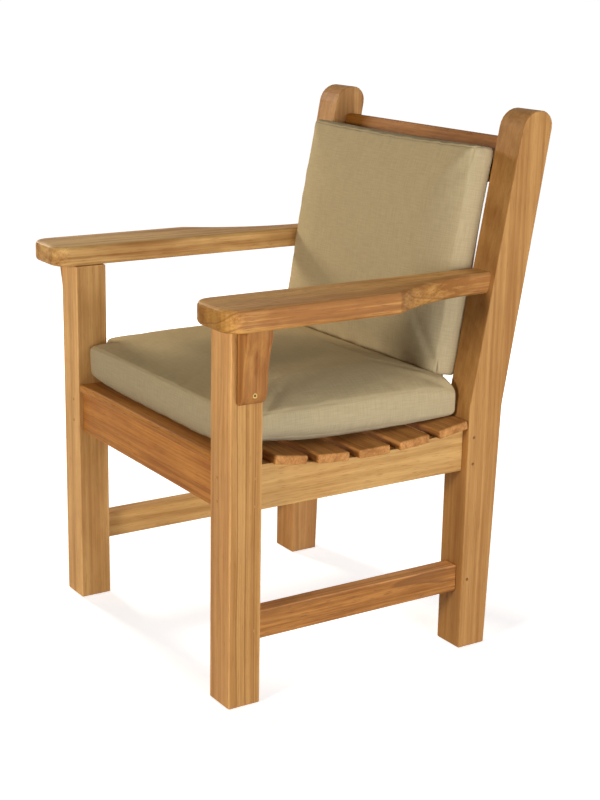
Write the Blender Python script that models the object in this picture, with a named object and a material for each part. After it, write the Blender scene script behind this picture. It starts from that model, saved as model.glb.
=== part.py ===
"""Outdoor armchair of solid teak with a loose seat cushion and a loose back cushion.

Two side frames (front leg, rear post, seat rail, stretcher, arm) are joined across by a front rail, a
rear rail and a top back rail. Every joint is a tenon in a mortise, locked by round wooden pins. Metres,
+Z up, +X to the sitter's left, +Y to the back, floor at Z = 0. Inside this file Y = 0 is the front face
of the front legs; the empty that carries everything moves the chair's middle to the origin.
"""

from math import cos, hypot, pi, radians, sin, sqrt, tan

import bmesh
import bpy
from mathutils import Matrix, Vector

# Overall
WIDTH_OVER_LEGS = 0.600
DEPTH_AT_FLOOR = 0.5215
FIT_CLEARANCE = 0.0003
EDGE_ROUND = 0.002

# Legs and posts
LEG_WIDTH = 0.061
FRONT_LEG_DEPTH = 0.058
POST_FOOT_DEPTH = 0.056
POST_BEND_DEPTH = 0.0697
POST_TOP_DEPTH = 0.062
POST_BEND_HEIGHT = 0.433
POST_BEND_RADIUS = 0.120
POST_RAKE = radians(10.2)
POST_HEIGHT = 0.9255
POST_CROWN_FRONT_RADIUS = 0.035
POST_CROWN_REAR_RADIUS = 0.0255

# Seat frame
SEAT_RAIL_UNDERSIDE = 0.3225
SIDE_RAIL_THICKNESS = 0.030
FRONT_RAIL_THICKNESS = 0.025
FRONT_RAIL_SETBACK = 0.008
REAR_RAIL_THICKNESS = 0.028
REAR_RAIL_TOP = 0.405
STRETCHER_UNDERSIDE = 0.103
STRETCHER_HEIGHT = 0.0475
STRETCHER_THICKNESS = 0.030

# Seat slats, laid in a dish
SLAT_COUNT = 5
SLAT_WIDTH = 0.060
SLAT_THICKNESS = 0.015
SLAT_END_INSET = 0.001
SLAT_POST_GAP = 0.0015
SLAT_LEG_GAP = 0.0255
SLAT_EDGE_ROUND = 0.0025
FRONT_SLAT_PROUD = 0.0035
FRONT_SLAT_ROUND = 0.005
DISH_LOW_HEIGHT = 0.3965
DISH_LOW_SETBACK = 0.267
DISH_RADIUS = 1.05

# Arms
ARM_UNDERSIDE = 0.6265
ARM_THICKNESS = 0.0358
ARM_WIDTH = 0.115
ARM_REAR_WIDTH = 0.0505
ARM_OVERHANG = 0.0365
ARM_CORNER_RADIUS = 0.030
ARM_EDGE_ROUND = 0.007
ARM_SCOOP_START = 0.275
ARM_SCOOP_END = 0.492
ARM_SCOOP_CORNER_RADIUS = 0.010

# Arm brackets
BRACKET_WIDTH = 0.045
BRACKET_SETBACK = 0.0105
BRACKET_HEIGHT = 0.123
BRACKET_TOP_THICKNESS = 0.032
BRACKET_TOP_BAND = 0.014
BRACKET_FOOT_THICKNESS = 0.018
BRACKET_FOOT_ROUND = 0.024
BRACKET_WAIST_EASE = 0.6
SCREW_ABOVE_FOOT = 0.0165
SCREW_LENGTH = 0.045
SCREW_HEAD_RADIUS = 0.0042
SCREW_HEAD_DEPTH = 0.0026
SCREW_SHANK_RADIUS = 0.0020
SCREW_RECESS = 0.0008

# Back
BACK_RAIL_SETBACK = 0.023
TOP_RAIL_DROP = 0.0505
TOP_RAIL_HEIGHT = 0.079
TOP_RAIL_THICKNESS = 0.028
TOP_RAIL_ROUND = 0.008
BACK_SLAT_COUNT = 3
BACK_SLAT_WIDTH = 0.060
BACK_SLAT_THICKNESS = 0.013
BACK_SLAT_SETBACK = 0.0075
BACK_SLAT_INSERTION = 0.015

# Tenons and pins
TENON_THICKNESS = 0.012
TENON_SHARE = 0.84
TENON_LENGTH = 0.025
POST_TENON_LENGTH = 0.030
FRONT_TENON_LENGTH = 0.030
REAR_TENON_LENGTH = 0.020
LEG_TENON_SIDE = 0.030
LEG_TENON_HEIGHT = 0.018
ARM_TENON_WIDTH = 0.022
ARM_TENON_HEIGHT = 0.020
ARM_TENON_LENGTH = 0.025
TENON_ROOT = 0.006
PIN_RADIUS = 0.0026
PIN_INSET = 0.0125
PIN_LOW_SHARE = 0.18
PIN_HIGH_SHARE = 0.79
FRONT_PIN_INSET = 0.022
CROSS_PIN_LOW_SHARE = 0.24
CROSS_PIN_HIGH_SHARE = 0.76
REAR_PIN_INSET = 0.010
PIN_PAST_TENON = 0.004

# Cushions
CUSHION_SIDE_GAP = 0.002
CUSHION_EDGE_RADIUS = 0.018
CUSHION_CORNER_POWER = 6
CUSHION_CROWN_POWER = 3
CUSHION_DRAW_IN = 0.005
SEAT_CUSHION_FRONT = 0.017
SEAT_CUSHION_POST_GAP = 0.001
SEAT_CUSHION_BULGE = 0.033
SEAT_CUSHION_SHOULDER = 0.030
SEAT_CUSHION_THICKNESS = 0.0715
SEAT_CUSHION_CROWN = 0.016
SEAT_CUSHION_REAR_DROP = 0.014
BACK_CUSHION_THICKNESS = 0.071
BACK_CUSHION_CROWN = 0.010
BACK_CUSHION_TREAD = 0.7
BACK_CUSHION_TOP_DROP = 0.012
BACK_CUSHION_EDGE_FORWARD = 0.020
BACK_CUSHION_EDGE_POWER = 6

# Colours, read as linear values
TEAK_SAWN = (0.49, 0.265, 0.090)
TEAK_PLANED = (0.54, 0.305, 0.108)
TEAK_RED = (0.40, 0.165, 0.055)
PIN_BROWN = (0.27, 0.135, 0.055)
BRASS = (0.62, 0.41, 0.13)
KHAKI_CLOTH = (0.40, 0.335, 0.205)
WOOD_ROUGHNESS = 0.52
CLOTH_ROUGHNESS = 0.90
BRASS_ROUGHNESS = 0.30

# Facets of round stretches
ARC_STEPS = 6
PIN_SIDES = 12
SCREW_SIDES = 16
RAIL_FACETS = 20
SCOOP_STEPS = 12
WAIST_STEPS = 8
CUSHION_COLUMNS = 8
SEAT_CUSHION_ROWS = 12
BACK_CUSHION_ROWS = 8
EDGE_LINE_SHARE = 0.35
SHOULDER_LINE_SHARES = (0, 0.05, 0.2, 0.5, 1)

for leftover in list(bpy.data.objects):
    bpy.data.objects.remove(leftover, do_unlink=True)

HALF_WIDTH = WIDTH_OVER_LEGS / 2
LEG_INNER = HALF_WIDTH - LEG_WIDTH
LEG_MID = HALF_WIDTH - LEG_WIDTH / 2
POST_FRONT = DEPTH_AT_FLOOR - POST_FOOT_DEPTH
TOP_RAIL_TOP = POST_HEIGHT - TOP_RAIL_DROP
SIDES = (("left", 1), ("right", -1))

chair = bpy.data.objects.new("armchair", None)
bpy.context.collection.objects.link(chair)


def seat_surface(setback, below=0.0):
    """Height of the dished seat at a distance behind the front legs' front face, or of a parallel arc
    under it. In front of the first slat the seat stays level."""
    reach = max(setback, first_slat_front) - DISH_LOW_SETBACK
    radius = DISH_RADIUS + below
    return DISH_LOW_HEIGHT + DISH_RADIUS - sqrt(radius ** 2 - reach ** 2)


first_slat_front = FRONT_LEG_DEPTH + SLAT_LEG_GAP
front_slat_top = seat_surface(0.0)
slat_bed_depth = hypot(DISH_RADIUS + SLAT_THICKNESS, SLAT_WIDTH / 2) - DISH_RADIUS + FIT_CLEARANCE


def back_point(along, behind):
    """Point (Y, Z) of the raked back: along its slope from the bend, and behind the posts' front faces."""
    return (
        POST_FRONT + along * sin(POST_RAKE) + behind * cos(POST_RAKE),
        POST_BEND_HEIGHT + along * cos(POST_RAKE) - behind * sin(POST_RAKE),
    )


def back_reach(height, behind):
    """Distance along the back's slope at which a point that far behind the posts' fronts has a height."""
    return (height - POST_BEND_HEIGHT + behind * sin(POST_RAKE)) / cos(POST_RAKE)


def give_finish(piece, colour, roughness, metallic=0.0):
    """Give a piece its own plain material."""
    material = bpy.data.materials.new(piece.name + "_finish")
    material.use_nodes = True
    shader = material.node_tree.nodes["Principled BSDF"]
    shader.inputs["Base Color"].default_value = (*colour, 1.0)
    shader.inputs["Roughness"].default_value = roughness
    shader.inputs["Metallic"].default_value = metallic
    piece.data.materials.append(material)


def new_object(name, form, location=(0, 0, 0), tilt=0.0):
    """Turn a bmesh into an object of the chair, tilted about X by an angle that leans its top back."""
    bmesh.ops.recalc_face_normals(form, faces=form.faces)
    mesh = bpy.data.meshes.new(name)
    form.to_mesh(mesh)
    form.free()
    mesh.shade_smooth()
    mesh.set_sharp_from_angle(angle=radians(35))
    item = bpy.data.objects.new(name, mesh)
    bpy.context.collection.objects.link(item)
    item.parent = chair
    item.location = location
    item.rotation_euler = (-tilt, 0, 0)
    return item


def box_form(size):
    form = bmesh.new()
    bmesh.ops.create_cube(form, size=1.0)
    bmesh.ops.scale(form, vec=size, verts=form.verts)
    return form


def outline_form(outline, axis, low, high):
    """Solid whose outline is square to an axis and which runs from low to high along it."""
    place = {
        "X": lambda a, b, run: (run, a, b),
        "Y": lambda a, b, run: (a, run, b),
        "Z": lambda a, b, run: (a, b, run),
    }[axis]
    form = bmesh.new()
    rings = [[form.verts.new(place(a, b, run)) for a, b in outline] for run in (low, high)]
    form.faces.new(rings[0])
    form.faces.new(rings[1])
    for index in range(len(outline)):
        following = (index + 1) % len(outline)
        form.faces.new((rings[0][index], rings[0][following], rings[1][following], rings[1][index]))
    return form


def round_form(profile, sides):
    """Solid turned about Z from (radius, height) points; a radius of 0 closes an end."""
    form = bmesh.new()
    points = [form.verts.new((radius, 0, height)) for radius, height in profile]
    edges = [form.edges.new(pair) for pair in zip(points, points[1:])]
    bmesh.ops.spin(
        form, geom=points + edges, axis=(0, 0, 1), cent=(0, 0, 0), angle=2 * pi, steps=sides, use_merge=True
    )
    bmesh.ops.remove_doubles(form, verts=form.verts, dist=0.00001)
    return form


def rounded(corners):
    """Outline from (a, b, radius) corners, each corner with a radius becoming an arc. An arc takes up no
    more than half of the sides that it joins."""
    outline = []
    for index, (a, b, radius) in enumerate(corners):
        corner = Vector((a, b))
        before = Vector(corners[index - 1][:2]) - corner
        after = Vector(corners[(index + 1) % len(corners)][:2]) - corner
        before_length = before.length
        after_length = after.length
        before.normalize()
        after.normalize()
        if radius == 0:
            outline.append(tuple(corner))
            continue
        half_angle = before.angle(after) / 2
        radius = min(radius, min(before_length, after_length) / 2 * tan(half_angle))
        centre = corner + (before + after).normalized() * (radius / sin(half_angle))
        start = corner + before * (radius / tan(half_angle)) - centre
        sweep = start.angle_signed(corner + after * (radius / tan(half_angle)) - centre)
        for step in range(ARC_STEPS + 1):
            arm = start.copy()
            arm.rotate(Matrix.Rotation(-sweep * step / ARC_STEPS, 2))
            outline.append(tuple(centre + arm))
    return outline


def ease_edges(piece, width, steps=2):
    """Round a piece's corners over."""
    bevel = piece.modifiers.new("eased_edges", "BEVEL")
    bevel.width = width
    bevel.segments = steps
    bevel.limit_method = "ANGLE"
    bevel.angle_limit = radians(40)


def join(piece, helper, operation):
    """Unite a piece with a helper solid, or cut the helper out of it. The helper isn't a piece itself."""
    helper.hide_render = True
    helper.display_type = "WIRE"
    boolean = piece.modifiers.new(helper.name, "BOOLEAN")
    boolean.operation = operation
    boolean.solver = "EXACT"
    boolean.object = helper


def board(name, size, location, tilt=0.0, edge=EDGE_ROUND, colour=TEAK_PLANED):
    piece = new_object(name, box_form(size), location, tilt)
    ease_edges(piece, edge)
    give_finish(piece, colour, WOOD_ROUGHNESS)
    return piece


def tenon(rail, post, size, location, tilt=0.0):
    """Tenon on the rail and, with its clearance, the mortise in the post."""
    label = rail.name + "_into_" + post.name
    join(rail, new_object(label + "_tenon", box_form(size), location, tilt), "UNION")
    mortise_size = [side + 2 * FIT_CLEARANCE for side in size]
    join(post, new_object(label + "_mortise", box_form(mortise_size), location, tilt), "DIFFERENCE")


def pin(name, mouth, direction, length, through):
    """Round pin driven in from its mouth, with its hole in each piece that it passes through."""
    turn = Vector(direction).to_track_quat("Z", "Y").to_euler()
    profile = [(0, 0), (PIN_RADIUS, 0), (PIN_RADIUS, length), (0, length)]
    piece = new_object(name, round_form(profile, PIN_SIDES), mouth)
    piece.rotation_euler = turn
    give_finish(piece, PIN_BROWN, WOOD_ROUGHNESS)
    hole_radius = PIN_RADIUS + FIT_CLEARANCE
    bottom = length + FIT_CLEARANCE
    mouth_end = -2 * PIN_RADIUS
    hole = [(0, mouth_end), (hole_radius, mouth_end), (hole_radius, bottom), (0, bottom)]
    drill = new_object(name + "_hole", round_form(hole, PIN_SIDES), mouth)
    drill.rotation_euler = turn
    for pierced in through:
        join(pierced, drill, "DIFFERENCE")


# Front legs, one straight piece each, with a stub tenon on top for the arm
front_legs = {}
for side, sign in SIDES:
    leg_height = ARM_UNDERSIDE - FIT_CLEARANCE
    front_legs[side] = board(
        "front_leg_" + side,
        (LEG_WIDTH, FRONT_LEG_DEPTH, leg_height),
        (sign * LEG_MID, FRONT_LEG_DEPTH / 2, leg_height / 2),
    )

# Rear posts, bent back above the seat
post_top_front = POST_FRONT + (POST_HEIGHT - POST_BEND_HEIGHT) * tan(POST_RAKE)
post_profile = rounded(
    [
        (POST_FRONT, 0, 0),
        (POST_FRONT, POST_BEND_HEIGHT, POST_BEND_RADIUS),
        (post_top_front, POST_HEIGHT, POST_CROWN_FRONT_RADIUS),
        (post_top_front + POST_TOP_DEPTH, POST_HEIGHT, POST_CROWN_REAR_RADIUS),
        (POST_FRONT + POST_BEND_DEPTH, POST_BEND_HEIGHT, POST_BEND_RADIUS),
        (DEPTH_AT_FLOOR, 0, 0),
    ]
)
rear_posts = {}
for side, sign in SIDES:
    post_form = outline_form(post_profile, "X", -LEG_WIDTH / 2, LEG_WIDTH / 2)
    rear_posts[side] = new_object("rear_post_" + side, post_form, (sign * LEG_MID, 0, 0))
    ease_edges(rear_posts[side], EDGE_ROUND)
    give_finish(rear_posts[side], TEAK_PLANED, WOOD_ROUGHNESS)


def post_back(height):
    """Back face of the rear post, below its bend."""
    lean = POST_FRONT + POST_BEND_DEPTH - DEPTH_AT_FLOOR
    return DEPTH_AT_FLOOR + lean * height / POST_BEND_HEIGHT


# Side seat rails with a dished top that carries the slats
rail_front = FRONT_LEG_DEPTH + FIT_CLEARANCE
rail_rear = POST_FRONT - FIT_CLEARANCE
rail_run = rail_rear - rail_front
rail_stations = [rail_front + rail_run * step / RAIL_FACETS for step in range(RAIL_FACETS + 1)]
rail_stations = sorted(rail_stations + [first_slat_front])
rail_top = [(station, seat_surface(station, slat_bed_depth)) for station in rail_stations]
side_rails = {}
for side, sign in SIDES:
    rail_outline = [(rail_rear, SEAT_RAIL_UNDERSIDE), (rail_front, SEAT_RAIL_UNDERSIDE)] + rail_top
    rail_form = outline_form(rail_outline, "X", -SIDE_RAIL_THICKNESS / 2, SIDE_RAIL_THICKNESS / 2)
    rail = new_object("side_seat_rail_" + side, rail_form, (sign * LEG_MID, 0, 0))
    give_finish(rail, TEAK_SAWN, WOOD_ROUGHNESS)
    side_rails[side] = rail
    for post, shoulder, reach, length, top in (
        (front_legs[side], rail_front, -1, TENON_LENGTH, rail_top[0][1]),
        (rear_posts[side], rail_rear, 1, POST_TENON_LENGTH, rail_top[-1][1]),
    ):
        height = top - SEAT_RAIL_UNDERSIDE
        middle = (top + SEAT_RAIL_UNDERSIDE) / 2
        tenon(
            rail,
            post,
            (TENON_THICKNESS, length + TENON_ROOT, TENON_SHARE * height),
            (sign * LEG_MID, shoulder + reach * (length - TENON_ROOT) / 2, middle),
        )
        for place, share in (("lower", PIN_LOW_SHARE), ("upper", PIN_HIGH_SHARE)):
            pin(
                "_".join(("seat_rail_pin", "front" if reach < 0 else "rear", place, side)),
                (sign * HALF_WIDTH, shoulder + reach * PIN_INSET, SEAT_RAIL_UNDERSIDE + share * height),
                (-sign, 0, 0),
                (LEG_WIDTH + TENON_THICKNESS) / 2 + PIN_PAST_TENON,
                (post, rail),
            )

# Side stretchers
for side, sign in SIDES:
    stretcher_middle = STRETCHER_UNDERSIDE + STRETCHER_HEIGHT / 2
    stretcher = board(
        "side_stretcher_" + side,
        (STRETCHER_THICKNESS, rail_rear - rail_front, STRETCHER_HEIGHT),
        (sign * LEG_MID, (rail_front + rail_rear) / 2, stretcher_middle),
        colour=TEAK_SAWN,
    )
    for post, shoulder, reach, length in (
        (front_legs[side], rail_front, -1, TENON_LENGTH),
        (rear_posts[side], rail_rear, 1, POST_TENON_LENGTH),
    ):
        tenon(
            stretcher,
            post,
            (TENON_THICKNESS, length + TENON_ROOT, TENON_SHARE * STRETCHER_HEIGHT),
            (sign * LEG_MID, shoulder + reach * (length - TENON_ROOT) / 2, stretcher_middle),
        )
        pin(
            "_".join(("stretcher_pin", "front" if reach < 0 else "rear", side)),
            (sign * HALF_WIDTH, shoulder + reach * PIN_INSET, stretcher_middle),
            (-sign, 0, 0),
            (LEG_WIDTH + TENON_THICKNESS) / 2 + PIN_PAST_TENON,
            (post, stretcher),
        )

# Front seat rail under the front slat, set back a little from the legs' front faces
rail_length = 2 * (LEG_INNER - FIT_CLEARANCE)
front_rail_top = front_slat_top - SLAT_THICKNESS - FIT_CLEARANCE
front_rail_height = front_rail_top - SEAT_RAIL_UNDERSIDE
front_rail_setback = FRONT_RAIL_SETBACK + FRONT_RAIL_THICKNESS / 2
front_rail_middle = SEAT_RAIL_UNDERSIDE + front_rail_height / 2
front_rail = board(
    "front_seat_rail",
    (rail_length, FRONT_RAIL_THICKNESS, front_rail_height),
    (0, front_rail_setback, front_rail_middle),
    colour=TEAK_SAWN,
)
for side, sign in SIDES:
    tenon(
        front_rail,
        front_legs[side],
        (FRONT_TENON_LENGTH + TENON_ROOT, TENON_THICKNESS, TENON_SHARE * front_rail_height),
        (
            sign * (LEG_INNER + (FRONT_TENON_LENGTH - TENON_ROOT) / 2),
            front_rail_setback,
            front_rail_middle,
        ),
    )
    for place, share in (("lower", CROSS_PIN_LOW_SHARE), ("upper", CROSS_PIN_HIGH_SHARE)):
        pin(
            "_".join(("front_rail_pin", place, side)),
            (sign * (LEG_INNER + FRONT_PIN_INSET), 0, SEAT_RAIL_UNDERSIDE + share * front_rail_height),
            (0, 1, 0),
            front_rail_setback + TENON_THICKNESS / 2 + PIN_PAST_TENON / 2,
            (front_legs[side], front_rail),
        )

# Rear seat rail, which also holds the feet of the back slats
slat_plane = BACK_RAIL_SETBACK + BACK_SLAT_SETBACK + BACK_SLAT_THICKNESS / 2
slat_foot = back_reach(REAR_RAIL_TOP, slat_plane)
rear_rail_setback = back_point(slat_foot - BACK_SLAT_INSERTION / 2, slat_plane)[0]
rear_rail_height = REAR_RAIL_TOP - SEAT_RAIL_UNDERSIDE
rear_rail_middle = SEAT_RAIL_UNDERSIDE + rear_rail_height / 2
rear_rail = board(
    "rear_seat_rail",
    (rail_length, REAR_RAIL_THICKNESS, rear_rail_height),
    (0, rear_rail_setback, rear_rail_middle),
    colour=TEAK_SAWN,
)
for side, sign in SIDES:
    tenon(
        rear_rail,
        rear_posts[side],
        (REAR_TENON_LENGTH + TENON_ROOT, TENON_THICKNESS, TENON_SHARE * rear_rail_height),
        (sign * (LEG_INNER + (REAR_TENON_LENGTH - TENON_ROOT) / 2), rear_rail_setback, rear_rail_middle),
    )
    for place, share in (("lower", CROSS_PIN_LOW_SHARE), ("upper", CROSS_PIN_HIGH_SHARE)):
        pin_height = SEAT_RAIL_UNDERSIDE + share * rear_rail_height
        mouth = post_back(pin_height)
        pin(
            "_".join(("rear_rail_pin", place, side)),
            (sign * (LEG_INNER + REAR_PIN_INSET), mouth, pin_height),
            (0, -1, 0),
            mouth - rear_rail_setback + TENON_THICKNESS / 2 + PIN_PAST_TENON,
            (rear_posts[side], rear_rail),
        )

# Top back rail, leaning with the posts
top_rail_plane = BACK_RAIL_SETBACK + TOP_RAIL_THICKNESS / 2
top_rail_reach = back_reach(TOP_RAIL_TOP, top_rail_plane) - TOP_RAIL_HEIGHT / 2
top_rail_place = back_point(top_rail_reach, top_rail_plane)
top_tenon_height = TENON_SHARE * (TOP_RAIL_HEIGHT - 2 * TOP_RAIL_ROUND)
top_rail = board(
    "top_back_rail",
    (rail_length, TOP_RAIL_THICKNESS, TOP_RAIL_HEIGHT),
    (0, *top_rail_place),
    POST_RAKE,
    TOP_RAIL_ROUND,
)
post_slope = (POST_BEND_DEPTH - POST_TOP_DEPTH) / (POST_HEIGHT - POST_BEND_HEIGHT)
for side, sign in SIDES:
    tenon(
        top_rail,
        rear_posts[side],
        (REAR_TENON_LENGTH + TOP_RAIL_ROUND, TENON_THICKNESS, top_tenon_height),
        (sign * (LEG_INNER + (REAR_TENON_LENGTH - TOP_RAIL_ROUND) / 2), *top_rail_place),
        POST_RAKE,
    )
    post_depth_here = POST_BEND_DEPTH - post_slope * (top_rail_place[1] - POST_BEND_HEIGHT)
    pin_run = post_depth_here * cos(POST_RAKE) - top_rail_plane
    pin_mouth = back_point(top_rail_reach, top_rail_plane + pin_run)
    pin(
        "top_rail_pin_" + side,
        (sign * (LEG_INNER + REAR_PIN_INSET), *pin_mouth),
        (0, -cos(POST_RAKE), sin(POST_RAKE)),
        pin_run + TENON_THICKNESS / 2 + PIN_PAST_TENON,
        (rear_posts[side], top_rail),
    )

# Upright back slats between the rear seat rail and the top rail
slat_top = top_rail_reach - TOP_RAIL_HEIGHT / 2
slat_length = slat_top - slat_foot + 2 * BACK_SLAT_INSERTION
slat_place = back_point((slat_top + slat_foot) / 2, slat_plane)
slat_gap = (2 * LEG_INNER - BACK_SLAT_COUNT * BACK_SLAT_WIDTH) / (BACK_SLAT_COUNT + 1)
for number in range(BACK_SLAT_COUNT):
    across = LEG_INNER - slat_gap - BACK_SLAT_WIDTH / 2 - number * (BACK_SLAT_WIDTH + slat_gap)
    slat_size = (BACK_SLAT_WIDTH, BACK_SLAT_THICKNESS, slat_length)
    board(f"back_slat_{number + 1}", slat_size, (across, *slat_place), POST_RAKE, colour=TEAK_SAWN)
    pocket_size = [side + 2 * FIT_CLEARANCE for side in slat_size]
    pocket = new_object(
        f"back_slat_pocket_{number + 1}", box_form(pocket_size), (across, *slat_place), POST_RAKE
    )
    join(rear_rail, pocket, "DIFFERENCE")
    join(top_rail, pocket, "DIFFERENCE")

# Front seat slat between the front legs, level, its front edge flush with them
front_slat_depth = FRONT_LEG_DEPTH + FRONT_SLAT_PROUD
board(
    "front_seat_slat",
    (rail_length, front_slat_depth, SLAT_THICKNESS),
    (0, front_slat_depth / 2, front_slat_top - SLAT_THICKNESS / 2),
    edge=FRONT_SLAT_ROUND,
)

# Seat slats across the side rails, each flat and lying along the dish
slat_span = 2 * (HALF_WIDTH - SLAT_END_INSET)
last_slat_middle = POST_FRONT - SLAT_POST_GAP - SLAT_WIDTH / 2
first_slat_middle = first_slat_front + SLAT_WIDTH / 2
for number in range(SLAT_COUNT):
    setback = first_slat_middle + (last_slat_middle - first_slat_middle) * number / (SLAT_COUNT - 1)
    lean = (setback - DISH_LOW_SETBACK) / DISH_RADIUS
    from_centre = DISH_RADIUS + SLAT_THICKNESS / 2
    board(
        f"seat_slat_{number + 1}",
        (slat_span, SLAT_WIDTH, SLAT_THICKNESS),
        (
            0,
            DISH_LOW_SETBACK + from_centre * sin(lean),
            DISH_LOW_HEIGHT + DISH_RADIUS - from_centre * cos(lean),
        ),
        -lean,
        SLAT_EDGE_ROUND,
    )

# Arms, rounded in front, scooped on the outer side towards the back, tenoned into the posts
arm_inner = LEG_INNER
arm_outer = arm_inner + ARM_WIDTH
arm_neck = arm_inner + ARM_REAR_WIDTH
arm_top = ARM_UNDERSIDE + ARM_THICKNESS
arm_middle = ARM_UNDERSIDE + ARM_THICKNESS / 2


def post_face(height):
    """Front face of the rear post, above its bend."""
    return POST_FRONT + (height - POST_BEND_HEIGHT) * tan(POST_RAKE)


scoop_depth = arm_outer - arm_neck
scoop_run = ARM_SCOOP_END - ARM_SCOOP_START
scoop_radius = (scoop_run ** 2 + scoop_depth ** 2) / (2 * scoop_depth)
scoop = []
for step in range(1, SCOOP_STEPS + 1):
    setback = ARM_SCOOP_START + scoop_run * step / SCOOP_STEPS
    rise = scoop_radius - sqrt(scoop_radius ** 2 - (ARM_SCOOP_END - setback) ** 2)
    scoop.append((arm_neck + rise, setback, 0))
arm_rear = post_face(arm_top) + ARM_EDGE_ROUND
arm_outline = rounded(
    [
        (arm_inner, -ARM_OVERHANG, ARM_CORNER_RADIUS),
        (arm_outer, -ARM_OVERHANG, ARM_CORNER_RADIUS),
        (arm_outer, ARM_SCOOP_START, ARM_SCOOP_CORNER_RADIUS),
        *scoop[1:],
        (arm_neck, arm_rear, 0),
        (arm_inner, arm_rear, 0),
    ]
)
for side, sign in SIDES:
    outline = [(sign * across, setback) for across, setback in arm_outline]
    arm_form = outline_form(outline, "Z", -ARM_THICKNESS / 2, ARM_THICKNESS / 2)
    arm = new_object("arm_" + side, arm_form, (0, 0, arm_middle))
    ease_edges(arm, ARM_EDGE_ROUND, 3)
    give_finish(arm, TEAK_PLANED, WOOD_ROUGHNESS)
    wedge_height = 2 * ARM_THICKNESS
    wedge = [
        (post_face(arm_middle + wedge_height) - FIT_CLEARANCE, wedge_height),
        (post_face(arm_middle - wedge_height) - FIT_CLEARANCE, -wedge_height),
        (post_face(arm_middle - wedge_height) + ARM_WIDTH, -wedge_height),
        (post_face(arm_middle + wedge_height) + ARM_WIDTH, wedge_height),
    ]
    across = sorted((sign * (arm_inner - ARM_WIDTH), sign * (arm_outer + ARM_WIDTH)))
    wedge_form = outline_form(wedge, "X", *across)
    join(arm, new_object(f"arm_{side}_end_cut", wedge_form, (0, 0, arm_middle)), "DIFFERENCE")
    arm_root = ARM_THICKNESS / 2
    tenon(
        arm,
        rear_posts[side],
        (ARM_TENON_WIDTH, ARM_TENON_LENGTH + arm_root, ARM_TENON_HEIGHT),
        (
            sign * (arm_inner + ARM_REAR_WIDTH / 2),
            post_face(arm_middle) + (ARM_TENON_LENGTH - arm_root) / 2,
            arm_middle,
        ),
    )
    tenon(
        front_legs[side],
        arm,
        (LEG_TENON_SIDE, LEG_TENON_SIDE, LEG_TENON_HEIGHT + TENON_ROOT),
        (sign * LEG_MID, FRONT_LEG_DEPTH / 2, ARM_UNDERSIDE + (LEG_TENON_HEIGHT - TENON_ROOT) / 2),
    )

# Arm brackets on the outer faces of the front legs, each held by a brass screw
bracket_top = ARM_UNDERSIDE - FIT_CLEARANCE
bracket_foot = bracket_top - BRACKET_HEIGHT
bracket_bed = HALF_WIDTH + FIT_CLEARANCE
waist_top = bracket_top - BRACKET_TOP_BAND
waist_foot = bracket_foot + BRACKET_FOOT_ROUND
bracket_profile = [(0, bracket_top), (BRACKET_TOP_THICKNESS, bracket_top)]
for step in range(WAIST_STEPS + 1):
    share = step / WAIST_STEPS
    swing = (1 + cos(pi * share ** BRACKET_WAIST_EASE)) / 2
    thickness = BRACKET_FOOT_THICKNESS + (BRACKET_TOP_THICKNESS - BRACKET_FOOT_THICKNESS) * swing
    bracket_profile.append((thickness, waist_top + (waist_foot - waist_top) * share))
for step in range(1, ARC_STEPS + 1):
    angle = pi / 2 * step / ARC_STEPS
    foot_height = waist_foot - BRACKET_FOOT_ROUND * sin(angle)
    bracket_profile.append((BRACKET_FOOT_THICKNESS * cos(angle), foot_height))

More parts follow.
